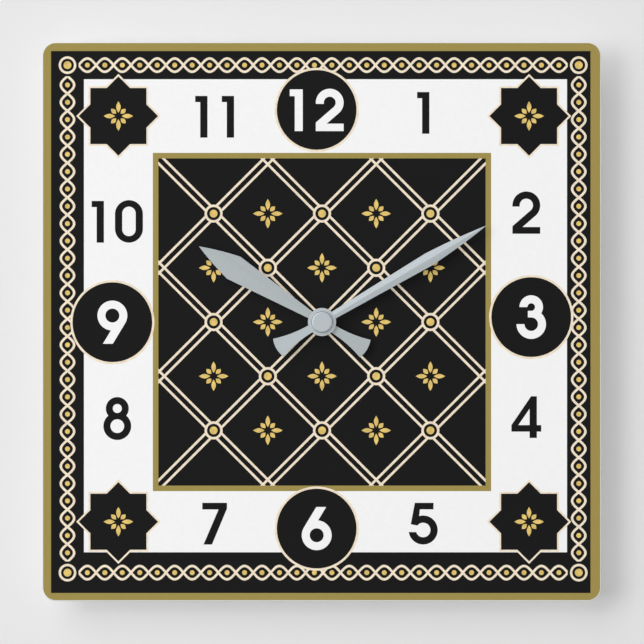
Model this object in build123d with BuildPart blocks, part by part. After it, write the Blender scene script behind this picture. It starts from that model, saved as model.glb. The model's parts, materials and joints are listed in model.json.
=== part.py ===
from build123d import *
import os
from math import cos, radians, sin

# Square wall clock: a printed acrylic panel, two hands and a battery quartz movement behind it.
# Millimetres. +X is right, +Z is up and +Y goes into the wall. The wall is the plane Y = 0 and
# the hands turn about the Y axis. A depth is a distance in front of the wall.

# Dial panel
PANEL_SIDE = 273.0
PANEL_THICKNESS = 3.175
PANEL_CORNER_RADIUS = 6.5
PANEL_EDGE = 0.5
HOLE_CLEARANCE = 0.2

# Hands, with distances measured from the hand axis
MINUTE_HEADING = 30.4
HOUR_HEADING = 148.4
MINUTE_REACH = 93.0
MINUTE_BELLY_AT = 60.0
MINUTE_BELLY_WIDTH = 6.7
MINUTE_ROOT_WIDTH = 3.4
HOUR_REACH = 70.4
HOUR_BELLY_AT = 50.5
HOUR_BELLY_WIDTH = 12.6
HOUR_ROOT_WIDTH = 2.4
BLADE_BULGE = 0.42
BLADE_CREASE = 0.45
SHEET = 0.5
TAIL_REACH = 25.7
TAIL_END_WIDTH = 10.0
TAIL_ROOT_WIDTH = 4.4
TAIL_CROWN = 1.0
HUB_RADIUS = 6.85
COLLET_RADIUS = 4.0
COLLET_HEIGHT = 0.8
HAND_GAP = 0.4
HAND_SPACING = 1.35
CAP_RADIUS = 5.25
CAP_HEIGHT = 2.4
CAP_EDGE = 1.0
CAP_WALL = 0.7

# Fixing of the movement to the panel
BUSHING_RADIUS = 4.0
BUSHING_PROUD = 0.6
BUSHING_CHAMFER = 0.4
FLANGE_RADIUS = 6.0
FLANGE_THICKNESS = 1.2
GASKET_RADIUS = 12.0
GASKET_THICKNESS = 1.0
WASHER_RADIUS = 6.3
WASHER_THICKNESS = 0.5
NUT_ACROSS_FLATS = 11.0
NUT_THICKNESS = 2.0

# AA cell and its contacts
CELL_DIAMETER = 14.5
CELL_LENGTH = 50.5
CELL_NUB_DIAMETER = 5.5
CELL_NUB_LENGTH = 1.3
CELL_EDGE = 0.9
CELL_CLEARANCE = 0.35
CELL_SETBACK = 0.7
CONTACT_STRIP = 0.3
CONTACT_WIDTH = 5.0
CONTACT_BACK = 6.5
CONTACT_TAB = 2.0
CONTACT_SPRING_RISE = 0.8
CONTACT_SPRING_SPAN = 11.0

# Movement case
CASE_WALL = 2.0
CASE_CORNER_RADIUS = 5.0
CASE_EDGE = 1.0
FRONT_WALL = 1.2
BAY_WALL = 1.4
DIVIDER = 1.2
COVER_THICKNESS = 1.5
COVER_LEDGE = 1.0
FINGER_NOTCH_RADIUS = 7.0
SNAP_WIDTH = 6.0
SNAP_TAB = 1.0
SNAP_TAB_LENGTH = 3.5
SNAP_NUB = 0.8
SNAP_HEIGHT = 1.4
POST_RADIUS = 1.5
PIN_RADIUS = 0.8
PIN_PROUD = 0.3

# Wall hanger
HANGER_WIDTH = 26.0
HANGER_THICKNESS = 2.4
HANGER_FOOT = 1.5
HANGER_FOOT_DEPTH = 10.0
HANGER_HOLE_RADIUS = 4.0
HANGER_HOLE_RISE = 8.5
HANGER_RIM = 4.5
HANGER_GUSSET = 1.5
HANGER_GUSSET_RISE = 5.0
PEG_RADIUS = 1.15
PEG_LENGTH = 1.7
PEG_SPREAD = 16.0

# Gear train: tooth counts, modules and directions from one axis to the next
ROTOR_TEETH = 8
INTERMEDIATE_TEETH = 40
INTERMEDIATE_PINION = 10
SECONDS_TEETH = 60
SECONDS_PINION = 8
THIRD_TEETH = 60
THIRD_PINION = 8
CENTRE_TEETH = 64
CANNON_TEETH = 10
MINUTE_TEETH = 30
MINUTE_PINION = 8
HOUR_TEETH = 32
SETTING_TEETH = 14
TRAIN_MODULE = 0.3
MOTION_MODULE = 0.5
THIRD_BEARING = 180.0
INTERMEDIATE_BEARING = 110.0
ROTOR_BEARING = 135.0
MINUTE_BEARING = 15.0
SETTING_BEARING = 40.0
ADDENDUM = 0.8
DEDENDUM = 1.15
ROOT_SHARE = 0.29
TIP_SHARE = 0.10

# Train thicknesses, arbors and clearances
WHEEL = 1.0
LEVEL_GAP = 0.5
PLATE = 1.0
PLATE_MARGIN = 2.0
WHEEL_ROOM = 0.9
RUN = 0.05
PIVOT_RADIUS = 0.5
SECONDS_ARBOR_RADIUS = 0.525
ARBOR_WALL = 1.175
ARBOR_FLATS = 2.4
ARBOR_COLLAR = 0.4
ARBOR_COLLAR_RADIUS = 2.6
CLUTCH_RADIUS = 4.0
CLUTCH_HOLE_RADIUS = 0.6
HOUR_TUBE_WALL = 0.75
HOUR_TUBE_PROUD = 0.6
MINUTE_POST_RADIUS = 0.9
STEM_RADIUS = 1.2
KNOB_RADIUS = 6.0
KNOB_THICKNESS = 1.6
KNOB_RECESS = 0.2
KNOB_GRIPS = 16
KNOB_GRIP_RADIUS = 0.7
CUP_GAP = 0.5
CUP_WALL = 1.0
CUP_ROOM = 0.4
WHEEL_HOLES = 5
WHEEL_HOLE_AT = 0.6
WHEEL_HOLE_SHARE = 0.18

# Stepping motor and circuit
MAGNET_RADIUS = 3.0
MAGNET_THICKNESS = 2.0
MAGNET_HUB_RADIUS = 1.0
STATOR = 1.0
STATOR_GAP = 0.4
STATOR_NECK = 1.5
STATOR_BAR = 4.0
STATOR_LEG = 4.0
STATOR_PIN_RADIUS = 0.7
CORE_WIDTH = 3.0
COIL_RADIUS = 3.2
COIL_LENGTH = 19.5
COIL_ROOM = 0.35
COIL_HEADROOM = 1.5
BOBBIN_WALL = 0.6
BOBBIN_FLANGE = 1.0
BOBBIN_RIM = 0.4
BOARD = 1.0
BOARD_HEIGHT = 8.0
BOARD_MARGIN = 0.3
CRYSTAL_RADIUS = 1.0
CRYSTAL_LENGTH = 6.0
CRYSTAL_X = -9.0
CHIP_RADIUS = 3.0
CHIP_HEIGHT = 1.2
CHIP_EDGE = 0.8
CHIP_X = 6.0


def polar(origin, distance, bearing):
    """Point at a distance and a bearing in degrees from another point of the dial plane."""
    return origin[0] + distance * cos(radians(bearing)), origin[1] + distance * sin(radians(bearing))


# Axes of the train in the dial plane
third_distance = TRAIN_MODULE * (SECONDS_PINION + THIRD_TEETH) / 2
third_module = 2 * third_distance / (THIRD_PINION + CENTRE_TEETH)
intermediate_distance = TRAIN_MODULE * (INTERMEDIATE_PINION + SECONDS_TEETH) / 2
rotor_distance = TRAIN_MODULE * (ROTOR_TEETH + INTERMEDIATE_TEETH) / 2
motion_distance = MOTION_MODULE * (CANNON_TEETH + MINUTE_TEETH) / 2
hour_module = 2 * motion_distance / (MINUTE_PINION + HOUR_TEETH)
setting_distance = MOTION_MODULE * (MINUTE_TEETH + SETTING_TEETH) / 2
centre_axis = (0.0, 0.0)
third_axis = polar(centre_axis, third_distance, THIRD_BEARING)
intermediate_axis = polar(centre_axis, intermediate_distance, INTERMEDIATE_BEARING)
rotor_axis = polar(intermediate_axis, rotor_distance, ROTOR_BEARING)
minute_axis = polar(centre_axis, motion_distance, MINUTE_BEARING)
setting_axis = polar(minute_axis, setting_distance, SETTING_BEARING)

# Outline of the case, built up from the wheels, the coil, the knob and the cell
wheel_reach = max(
    TRAIN_MODULE * (SECONDS_TEETH / 2 + ADDENDUM),
    TRAIN_MODULE * (THIRD_TEETH / 2 + ADDENDUM),
    third_module * (CENTRE_TEETH / 2 + ADDENDUM),
    hour_module * (HOUR_TEETH / 2 + ADDENDUM),
)
cup_inner = KNOB_RADIUS + CUP_GAP
cup_outer = cup_inner + CUP_WALL
coil_flange_radius = COIL_RADIUS + BOBBIN_RIM
coil_z = rotor_axis[1] + STATOR_BAR / 2 + COIL_ROOM + coil_flange_radius
bay_half = CELL_LENGTH / 2 + CONTACT_SPRING_RISE / 2 + CONTACT_STRIP + RUN
chamber_half = max(bay_half, setting_axis[0] + cup_outer + CUP_ROOM)
chamber_top = coil_z + coil_flange_radius + COIL_HEADROOM
case_half = chamber_half + CASE_WALL
case_top = chamber_top + CASE_WALL
train_floor = -wheel_reach - WHEEL_ROOM
bay_top = train_floor - DIVIDER
cell_z = bay_top - CELL_CLEARANCE - CELL_DIAMETER / 2
bay_floor = cell_z - CELL_DIAMETER / 2 - CELL_CLEARANCE
case_bottom = bay_floor - BAY_WALL
chamber_corner = CASE_CORNER_RADIUS - CASE_WALL

# Depths, from the wall to the front of the cap
cell_depth = CELL_SETBACK + CELL_DIAMETER / 2
intermediate_back = COVER_THICKNESS + LEVEL_GAP
intermediate_front = intermediate_back + WHEEL
seconds_back = intermediate_front + LEVEL_GAP
seconds_front = seconds_back + WHEEL
third_back = seconds_front + LEVEL_GAP
third_front = third_back + WHEEL
collar_back = third_front + LEVEL_GAP
centre_back = collar_back + ARBOR_COLLAR + RUN
centre_front = centre_back + WHEEL
clutch_back = centre_front + RUN
clutch_front = clutch_back + ARBOR_COLLAR
shoulder_front = clutch_front + ARBOR_COLLAR
plate_back = shoulder_front + LEVEL_GAP
plate_front = plate_back + PLATE
motion_back = plate_front + LEVEL_GAP
motion_front = motion_back + WHEEL
hour_back = motion_front + LEVEL_GAP
hour_front = hour_back + WHEEL
rotor_pinion_front = intermediate_front + LEVEL_GAP / 2
intermediate_pinion_front = seconds_front + LEVEL_GAP / 2
seconds_pinion_front = third_front + LEVEL_GAP / 2
minute_pinion_front = hour_front + LEVEL_GAP / 2
wall_back = max(
    CELL_SETBACK + CELL_DIAMETER + CELL_CLEARANCE,
    hour_front + LEVEL_GAP + FLANGE_THICKNESS,
)
case_depth = wall_back + FRONT_WALL
panel_back = case_depth + GASKET_THICKNESS
panel_front = panel_back + PANEL_THICKNESS
washer_front = panel_front + WASHER_THICKNESS
nut_front = washer_front + NUT_THICKNESS
bushing_front = nut_front + BUSHING_PROUD
hour_collet_back = bushing_front + HAND_GAP
hour_hand_back = hour_collet_back + COLLET_HEIGHT
hour_hand_front = hour_hand_back + SHEET + BLADE_CREASE
hour_tube_front = hour_hand_front + HOUR_TUBE_PROUD
minute_hand_back = hour_hand_front + HAND_SPACING
minute_collet_back = hour_tube_front + HAND_GAP
minute_hand_front = minute_hand_back + SHEET + BLADE_CREASE
cap_front = minute_hand_front + CAP_HEIGHT
minute_arbor_front = cap_front - CAP_WALL - LEVEL_GAP
seconds_arbor_front = minute_arbor_front + LEVEL_GAP / 2

# Motor and circuit
minute_arbor_radius = SECONDS_ARBOR_RADIUS + RUN + ARBOR_WALL
hour_tube_radius = minute_arbor_radius + RUN + HOUR_TUBE_WALL
magnet_back = intermediate_front + LEVEL_GAP
stator_back = magnet_back + (MAGNET_THICKNESS - STATOR) / 2
core_back = stator_back + STATOR
coil_depth = core_back + STATOR / 2
stator_ring_radius = MAGNET_RADIUS + STATOR_GAP + STATOR_NECK
coil_left = rotor_axis[0] + stator_ring_radius + LEVEL_GAP
coil_right = coil_left + COIL_LENGTH
stator_left = rotor_axis[0] - stator_ring_radius - STATOR_NECK
stator_right = coil_right + STATOR_NECK + STATOR_LEG
stator_pins = [(stator_left + STATOR_LEG / 2, coil_z), (stator_right - STATOR_LEG / 2, coil_z)]
board_back = coil_depth + coil_flange_radius + LEVEL_GAP
board_front = board_back + BOARD
board_half = bay_half - CONTACT_STRIP
board_top = chamber_top - BOARD_MARGIN
board_z = board_top - BOARD_HEIGHT / 2
board_posts = [(-board_half + 2 * PLATE_MARGIN, board_z), (board_half - 2 * PLATE_MARGIN, board_z)]

# Train plate and its posts
plate_half = bay_half - PLATE_MARGIN
plate_bottom = train_floor + WHEEL_ROOM
plate_top = board_top - BOARD_HEIGHT - LEVEL_GAP
post_x = plate_half - POST_RADIUS
plate_posts = [
    (-post_x, plate_bottom + POST_RADIUS),
    (post_x, plate_bottom + POST_RADIUS),
    (-post_x, plate_top - POST_RADIUS),
    (post_x, plate_top - POST_RADIUS),
]
pivot_axes = [third_axis, intermediate_axis, rotor_axis]
rear_pivots = pivot_axes + [centre_axis]

# Snaps between the case and its rear cover
snap_heights = [train_floor / 2, coil_z - SNAP_WIDTH / 2]
snap_back = COVER_THICKNESS + SNAP_TAB_LENGTH - SNAP_HEIGHT
snap_half = chamber_half - 2 * RUN

# Knob cup in the rear cover
knob_front = KNOB_RECESS + KNOB_THICKNESS
stem_back = KNOB_RECESS + KNOB_THICKNESS / 2
cup_floor_back = knob_front + CUP_GAP
cup_floor_front = cup_floor_back + CUP_WALL

# Hanger
hanger_hole_z = case_top + HANGER_HOLE_RISE
hanger_pegs = [(-PEG_SPREAD / 2, -HANGER_FOOT_DEPTH / 2), (PEG_SPREAD / 2, -HANGER_FOOT_DEPTH / 2)]


def at(depth):
    """Plane parallel to the dial at a depth, seen from the front."""
    return Plane.XZ.offset(depth)


def along_hand(depth, heading):
    """Plane parallel to the dial at a depth, with its x axis along a hand."""
    return Plane(
        origin=(0, -depth, 0),
        x_dir=(cos(radians(heading)), 0, sin(radians(heading))),
        z_dir=(0, -1, 0),
    )


def across_hand(heading):
    """Plane square to a hand through its axis: x across the hand, y is the depth."""
    return Plane(
        origin=(0, 0, 0),
        x_dir=(-sin(radians(heading)), 0, cos(radians(heading))),
        z_dir=(cos(radians(heading)), 0, sin(radians(heading))),
    )


def mate(bearing, teeth, phase, other_teeth):
    """Phase that puts a wheel's gap over the tooth of the wheel that it meshes with."""
    lead = phase - bearing
    return bearing + 180 - lead * teeth / other_teeth + 180 / other_teeth


def rods(spots, radius, back, front, mode=Mode.ADD):
    """Round bars or holes between two depths."""
    with BuildSketch(at(back)) as profile:
        with Locations(*spots):
            Circle(radius)
    extrude(profile.sketch, amount=front - back, mode=mode)


def toothed(spot, teeth, module, phase, back, front):
    """Toothed disc between two depths, with one tooth at the phase angle."""
    pitch = module * teeth / 2
    root = pitch - DEDENDUM * module
    tip = pitch + ADDENDUM * module
    flank = [(root, -ROOT_SHARE), (tip, -TIP_SHARE), (tip, TIP_SHARE), (root, ROOT_SHARE)]
    corners = [
        polar(centre_axis, radius, phase + (tooth + share) * 360 / teeth)
        for tooth in range(teeth)
        for radius, share in flank
    ]
    with BuildSketch(at(back)) as profile:
        with Locations(spot):
            Polygon(*corners)
    extrude(profile.sketch, amount=front - back)


def lighten(spot, teeth, module, back, front):
    """Ring of round holes through the web of a large wheel."""
    pitch = module * teeth / 2
    with BuildSketch(at(back)) as profile:
        with Locations(spot):
            with PolarLocations(pitch * WHEEL_HOLE_AT, WHEEL_HOLES):
                Circle(pitch * WHEEL_HOLE_SHARE)
    extrude(profile.sketch, amount=front - back, mode=Mode.SUBTRACT)


def chamber_outline(depth, low, margin):
    """Train chamber's outline grown by a margin: round top corners, square along the bay."""
    high = chamber_top + margin
    with BuildSketch(at(depth)) as outline:
        with Locations((0, (low + high) / 2)):
            Rectangle(2 * (chamber_half + margin), high - low)
        fillet(outline.vertices().group_by(Axis.Y)[-1], chamber_corner + margin)
    return outline.sketch


def blade(heading, back, root_width, belly_at, belly_width, reach):
    """Creased leaf-shaped blade of a hand, its edges at the given depth."""
    drop = BLADE_CREASE
    half = belly_width / 2
    with BuildSketch(across_hand(heading)) as section:
        Polygon(
            (0, back + drop),
            (half, back),
            (half, back + SHEET),
            (0, back + drop + SHEET),
            (-half, back + SHEET),
            (-half, back),
        )
    extrude(section.sketch, amount=reach)
    with BuildSketch(along_hand(back, heading)) as outline:
        with BuildLine():
            edge = Line((0, root_width / 2), (belly_at, half))
            ThreePointArc(edge @ 1, ((belly_at + reach) / 2, half / 2 + BLADE_BULGE), (reach, 0))
            mirror(about=Plane.XZ)
            Line((0, root_width / 2), (0, -root_width / 2))
        make_face()
    extrude(outline.sketch, amount=SHEET + drop, mode=Mode.INTERSECT)


def tail(heading, back):
    """Flared counterweight of a hand, opposite its blade."""
    root = TAIL_ROOT_WIDTH / 2
    end = TAIL_END_WIDTH / 2
    corner = -TAIL_REACH + TAIL_CROWN
    waist = (corner * 2 / 3, root + (end - root) / 4)
    with BuildSketch(along_hand(back, heading)) as outline:
        with BuildLine():
            ThreePointArc((0, root), waist, (corner, end))
            mirror(about=Plane.XZ)
            ThreePointArc((corner, end), (-TAIL_REACH, 0), (corner, -end))
            Line((0, root), (0, -root))
        make_face()
    extrude(outline.sketch, amount=SHEET)


# Acrylic panel with a softened front edge
with BuildPart() as dial_panel:
    with BuildSketch(at(panel_back)):
        RectangleRounded(PANEL_SIDE, PANEL_SIDE, PANEL_CORNER_RADIUS)
        Circle(BUSHING_RADIUS + HOLE_CLEARANCE, mode=Mode.SUBTRACT)
    extrude(amount=PANEL_THICKNESS)
    fillet(dial_panel.faces().sort_by(Axis.Y)[0].outer_wire().edges(), PANEL_EDGE)

# Front shell: train chamber, battery bay, posts and the seat of the cover
with BuildPart() as front_case:
    with BuildSketch(at(0)):
        with Locations((0, (case_bottom + case_top) / 2)):
            RectangleRounded(2 * case_half, case_top - case_bottom, CASE_CORNER_RADIUS)
    extrude(amount=case_depth)
    fillet(front_case.faces().sort_by(Axis.Y)[0].edges(), CASE_EDGE)
    extrude(chamber_outline(0, train_floor, 0), amount=wall_back, mode=Mode.SUBTRACT)
    extrude(chamber_outline(0, bay_top, COVER_LEDGE), amount=COVER_THICKNESS, mode=Mode.SUBTRACT)
    with BuildSketch(at(0)):
        with Locations((0, cell_z)):
            Rectangle(2 * bay_half, bay_top - bay_floor)
    extrude(amount=wall_back, mode=Mode.SUBTRACT)
    with BuildSketch(Plane.XY.offset(case_bottom)):
        Circle(FINGER_NOTCH_RADIUS)
    extrude(amount=BAY_WALL, mode=Mode.SUBTRACT)
    with BuildSketch(Plane.XY.offset(case_top)):
        with Locations(*hanger_pegs):
            Circle(PEG_RADIUS + RUN)
    extrude(amount=-CASE_WALL, mode=Mode.SUBTRACT)
    with BuildSketch(at(snap_back - 2 * RUN)):
        for side in (-1, 1):
            with Locations(*[(side * (chamber_half + CASE_WALL / 2), height) for height in snap_heights]):
                Rectangle(CASE_WALL, SNAP_WIDTH)
    extrude(amount=SNAP_HEIGHT + 4 * RUN, mode=Mode.SUBTRACT)
    with BuildSketch(at(CONTACT_BACK - 2 * RUN)):
        with Locations((0, (bay_top + train_floor) / 2)):
            Rectangle(2 * bay_half, DIVIDER)
            Rectangle(2 * (bay_half - CONTACT_STRIP - 2 * RUN), DIVIDER, mode=Mode.SUBTRACT)
    extrude(amount=CONTACT_WIDTH + 4 * RUN, mode=Mode.SUBTRACT)
    rods([centre_axis], BUSHING_RADIUS, wall_back, case_depth, Mode.SUBTRACT)
    rods(plate_posts, POST_RADIUS, plate_front, wall_back)
    rods(plate_posts, PIN_RADIUS, plate_back - PIN_PROUD, plate_front)
    rods(board_posts, POST_RADIUS, board_front, wall_back)
    rods(board_posts, PIN_RADIUS, board_back - PIN_PROUD, board_front)
    rods([minute_axis], MINUTE_POST_RADIUS, plate_front + 2 * RUN, wall_back)

# Rear cover: knob cup, pivot holes, motor posts and snap tabs
with BuildPart() as rear_cover:
    extrude(chamber_outline(0, bay_top + 2 * RUN, COVER_LEDGE - 2 * RUN), amount=COVER_THICKNESS)
    rods([setting_axis], cup_outer, 0, cup_floor_front)
    rods([setting_axis], cup_inner, 0, cup_floor_back, Mode.SUBTRACT)
    rods([setting_axis], STEM_RADIUS + RUN, cup_floor_back, cup_floor_front, Mode.SUBTRACT)
    rods(rear_pivots, PIVOT_RADIUS + RUN, COVER_THICKNESS / 2, COVER_THICKNESS, Mode.SUBTRACT)
    rods(stator_pins, POST_RADIUS, COVER_THICKNESS, stator_back)
    rods(stator_pins, STATOR_PIN_RADIUS, stator_back, core_back + STATOR + PIN_PROUD)
    for side in (-1, 1):
        with BuildSketch(at(COVER_THICKNESS)):
            with Locations(*[(side * (snap_half - SNAP_TAB / 2), height) for height in snap_heights]):
                Rectangle(SNAP_TAB, SNAP_WIDTH - SNAP_TAB)
        extrude(amount=SNAP_TAB_LENGTH)
        with BuildSketch(at(snap_back)):
            with Locations(*[(side * (snap_half + SNAP_NUB / 2), height) for height in snap_heights]):
                Rectangle(SNAP_NUB, SNAP_WIDTH - SNAP_TAB)
        extrude(amount=SNAP_HEIGHT)

# Hanger moulding pegged to the top of the case
with BuildPart() as hanger:
    with BuildSketch(at(0)):
        with BuildLine():
            Line((HANGER_WIDTH / 2, case_top), (HANGER_HOLE_RADIUS + HANGER_RIM, hanger_hole_z))
            ThreePointArc(
                (HANGER_HOLE_RADIUS + HANGER_RIM, hanger_hole_z),
                (0, hanger_hole_z + HANGER_HOLE_RADIUS + HANGER_RIM),
                (-HANGER_HOLE_RADIUS - HANGER_RIM, hanger_hole_z),
            )
            Line((-HANGER_HOLE_RADIUS - HANGER_RIM, hanger_hole_z), (-HANGER_WIDTH / 2, case_top))
            Line((-HANGER_WIDTH / 2, case_top), (HANGER_WIDTH / 2, case_top))
        make_face()
        with Locations((0, hanger_hole_z)):
            Circle(HANGER_HOLE_RADIUS, mode=Mode.SUBTRACT)
    extrude(amount=HANGER_THICKNESS)
    with BuildSketch(Plane.XY.offset(case_top)):
        with Locations((0, -HANGER_FOOT_DEPTH / 2)):
            Rectangle(HANGER_WIDTH, HANGER_FOOT_DEPTH)
    extrude(amount=HANGER_FOOT)
    for side in (-1, 1):
        with BuildSketch(Plane.YZ.offset(side * (HANGER_WIDTH / 2 - 2 * HANGER_GUSSET))):
            foot_top = case_top + HANGER_FOOT
            Polygon(
                (-HANGER_THICKNESS, foot_top),
                (-HANGER_FOOT_DEPTH, foot_top),
                (-HANGER_THICKNESS, foot_top + HANGER_GUSSET_RISE),
            )
        extrude(amount=HANGER_GUSSET / 2, both=True)
    with BuildSketch(Plane.XY.offset(case_top)):
        with Locations(*hanger_pegs):
            Circle(PEG_RADIUS)
    extrude(amount=-PEG_LENGTH)

# Threaded bushing, its flange inside the front wall
with BuildPart() as threaded_bushing:
    rods([centre_axis], FLANGE_RADIUS, wall_back - FLANGE_THICKNESS, wall_back)
    rods([centre_axis], BUSHING_RADIUS, wall_back, bushing_front)
    rods([centre_axis], hour_tube_radius + RUN, wall_back - FLANGE_THICKNESS, bushing_front, Mode.SUBTRACT)
    front_rims = threaded_bushing.edges().filter_by(GeomType.CIRCLE).group_by(Axis.Y)[0]
    chamfer(front_rims.sort_by(SortBy.RADIUS)[-1], BUSHING_CHAMFER)

# Rubber gasket between the case and the panel
with BuildPart() as dial_gasket:
    rods([centre_axis], GASKET_RADIUS, case_depth, panel_back)
    rods([centre_axis], BUSHING_RADIUS + HOLE_CLEARANCE, case_depth, panel_back, Mode.SUBTRACT)

# Washer and hexagon nut that clamp the panel
with BuildPart() as dial_washer:
    rods([centre_axis], WASHER_RADIUS, panel_front, washer_front)
    rods([centre_axis], BUSHING_RADIUS + HOLE_CLEARANCE, panel_front, washer_front, Mode.SUBTRACT)

with BuildPart() as hex_nut:
    with BuildSketch(at(washer_front)):
        RegularPolygon(NUT_ACROSS_FLATS / 2, 6, major_radius=False)
        Circle(BUSHING_RADIUS + RUN, mode=Mode.SUBTRACT)
    extrude(amount=NUT_THICKNESS)

# Hour hand with its collet
with BuildPart() as hour_hand:
    blade(HOUR_HEADING, hour_hand_back, HOUR_ROOT_WIDTH, HOUR_BELLY_AT, HOUR_BELLY_WIDTH, HOUR_REACH)
    tail(HOUR_HEADING, hour_hand_back)
    rods([centre_axis], HUB_RADIUS, hour_hand_back, hour_hand_front)
    rods([centre_axis], COLLET_RADIUS, hour_collet_back, hour_hand_back)
    rods([centre_axis], hour_tube_radius, hour_collet_back, hour_hand_front, Mode.SUBTRACT)

# Minute hand with its collet, keyed to the flats of the minute arbor
with BuildPart() as minute_hand:
    blade(
        MINUTE_HEADING, minute_hand_back, MINUTE_ROOT_WIDTH, MINUTE_BELLY_AT, MINUTE_BELLY_WIDTH, MINUTE_REACH
    )
    tail(MINUTE_HEADING, minute_hand_back)
    rods([centre_axis], HUB_RADIUS, minute_hand_back, minute_hand_front)
    rods([centre_axis], COLLET_RADIUS, minute_collet_back, minute_hand_back)
    with BuildSketch(along_hand(minute_collet_back, MINUTE_HEADING)):
        Circle(minute_arbor_radius)
        Rectangle(2 * minute_arbor_radius, ARBOR_FLATS, mode=Mode.INTERSECT)
    extrude(amount=minute_hand_front - minute_collet_back, mode=Mode.SUBTRACT)

# Round cap over the end of the arbors
with BuildPart() as hand_cap:
    rods([centre_axis], CAP_RADIUS, minute_hand_front, cap_front)
    fillet(hand_cap.edges().sort_by(Axis.Y)[0], CAP_EDGE)
    rods([centre_axis], minute_arbor_radius, minute_hand_front, cap_front - CAP_WALL, Mode.SUBTRACT)

# Hour wheel with the tube that carries the hour hand
minute_pinion_phase = MINUTE_BEARING + 180
hour_phase = mate(MINUTE_BEARING + 180, MINUTE_PINION, minute_pinion_phase, HOUR_TEETH)
with BuildPart() as hour_wheel:
    toothed(centre_axis, HOUR_TEETH, hour_module, hour_phase, hour_back, hour_front)
    lighten(centre_axis, HOUR_TEETH, hour_module, hour_back, hour_front)
    rods([centre_axis], hour_tube_radius, hour_back, hour_tube_front)
    rods([centre_axis], minute_arbor_radius + RUN, hour_back, hour_tube_front, Mode.SUBTRACT)

# Minute arbor: collar, shoulder, cannon pinion and flattened end
with BuildPart() as minute_arbor:
    rods([centre_axis], minute_arbor_radius, collar_back, minute_arbor_front)
    with BuildSketch(along_hand(minute_collet_back, MINUTE_HEADING)):
        Circle(2 * minute_arbor_radius)
        Rectangle(4 * minute_arbor_radius, ARBOR_FLATS, mode=Mode.SUBTRACT)
    extrude(amount=minute_arbor_front - minute_collet_back, mode=Mode.SUBTRACT)
    rods([centre_axis], ARBOR_COLLAR_RADIUS, collar_back, collar_back + ARBOR_COLLAR)
    rods([centre_axis], ARBOR_COLLAR_RADIUS, clutch_front, shoulder_front)
    toothed(centre_axis, CANNON_TEETH, MOTION_MODULE, MINUTE_BEARING, motion_back, motion_front)
    rods([centre_axis], SECONDS_ARBOR_RADIUS + RUN, collar_back, minute_arbor_front, Mode.SUBTRACT)

# Friction washer between the centre wheel and the shoulder
with BuildPart() as clutch_spring:
    rods([centre_axis], CLUTCH_RADIUS, clutch_back, clutch_front)
    rods([centre_axis], minute_arbor_radius, clutch_back, clutch_front, Mode.SUBTRACT)
    with BuildSketch(at(clutch_back)):
        with PolarLocations(CLUTCH_RADIUS - 2 * CLUTCH_HOLE_RADIUS, WHEEL_HOLES):
            Circle(CLUTCH_HOLE_RADIUS)
    extrude(amount=ARBOR_COLLAR, mode=Mode.SUBTRACT)

# Phases that let the train mesh at rest, from the rotor to the centre wheel
rotor_phase = ROTOR_BEARING + 180
intermediate_phase = mate(ROTOR_BEARING + 180, ROTOR_TEETH, rotor_phase, INTERMEDIATE_TEETH)
intermediate_pinion_phase = INTERMEDIATE_BEARING + 180
seconds_phase = mate(
    INTERMEDIATE_BEARING + 180, INTERMEDIATE_PINION, intermediate_pinion_phase, SECONDS_TEETH
)
third_phase = mate(THIRD_BEARING, SECONDS_PINION, THIRD_BEARING, THIRD_TEETH)
centre_phase = mate(THIRD_BEARING + 180, THIRD_PINION, THIRD_BEARING + 180, CENTRE_TEETH)
minute_phase = mate(MINUTE_BEARING, CANNON_TEETH, MINUTE_BEARING, MINUTE_TEETH)
setting_phase = mate(SETTING_BEARING, MINUTE_TEETH, minute_phase, SETTING_TEETH)
pivot_back = COVER_THICKNESS / 2 + RUN
pivot_front = plate_front - RUN

with BuildPart() as centre_wheel:
    toothed(centre_axis, CENTRE_TEETH, third_module, centre_phase, centre_back, centre_front)
    lighten(centre_axis, CENTRE_TEETH, third_module, centre_back, centre_front)
    rods([centre_axis], minute_arbor_radius + RUN, centre_back, centre_front, Mode.SUBTRACT)

with BuildPart() as third_wheel:
    toothed(third_axis, THIRD_TEETH, TRAIN_MODULE, third_phase, third_back, third_front)
    lighten(third_axis, THIRD_TEETH, TRAIN_MODULE, third_back, third_front)
    toothed(third_axis, THIRD_PINION, third_module, THIRD_BEARING + 180, third_front, clutch_front)
    rods([third_axis], PIVOT_RADIUS, pivot_back, pivot_front)

with BuildPart() as seconds_wheel:
    toothed(centre_axis, SECONDS_TEETH, TRAIN_MODULE, seconds_phase, seconds_back, seconds_front)
    lighten(centre_axis, SECONDS_TEETH, TRAIN_MODULE, seconds_back, seconds_front)
    toothed(centre_axis, SECONDS_PINION, TRAIN_MODULE, THIRD_BEARING, seconds_front, seconds_pinion_front)
    rods([centre_axis], PIVOT_RADIUS, pivot_back, COVER_THICKNESS)
    rods([centre_axis], SECONDS_ARBOR_RADIUS, COVER_THICKNESS, seconds_arbor_front)

with BuildPart() as intermediate_wheel:
    toothed(
        intermediate_axis,
        INTERMEDIATE_TEETH,
        TRAIN_MODULE,
        intermediate_phase,
        intermediate_back,
        intermediate_front,
    )
    toothed(
        intermediate_axis,
        INTERMEDIATE_PINION,
        TRAIN_MODULE,
        intermediate_pinion_phase,
        intermediate_front,
        intermediate_pinion_front,
    )
    rods([intermediate_axis], PIVOT_RADIUS, pivot_back, pivot_front)

# Rotor: steel pinion and the magnet pressed on its hub
with BuildPart() as rotor_pinion:
    toothed(rotor_axis, ROTOR_TEETH, TRAIN_MODULE, rotor_phase, intermediate_back, rotor_pinion_front)
    rods([rotor_axis], MAGNET_HUB_RADIUS, intermediate_front, magnet_back + MAGNET_THICKNESS)
    rods([rotor_axis], PIVOT_RADIUS, pivot_back, pivot_front)

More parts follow.
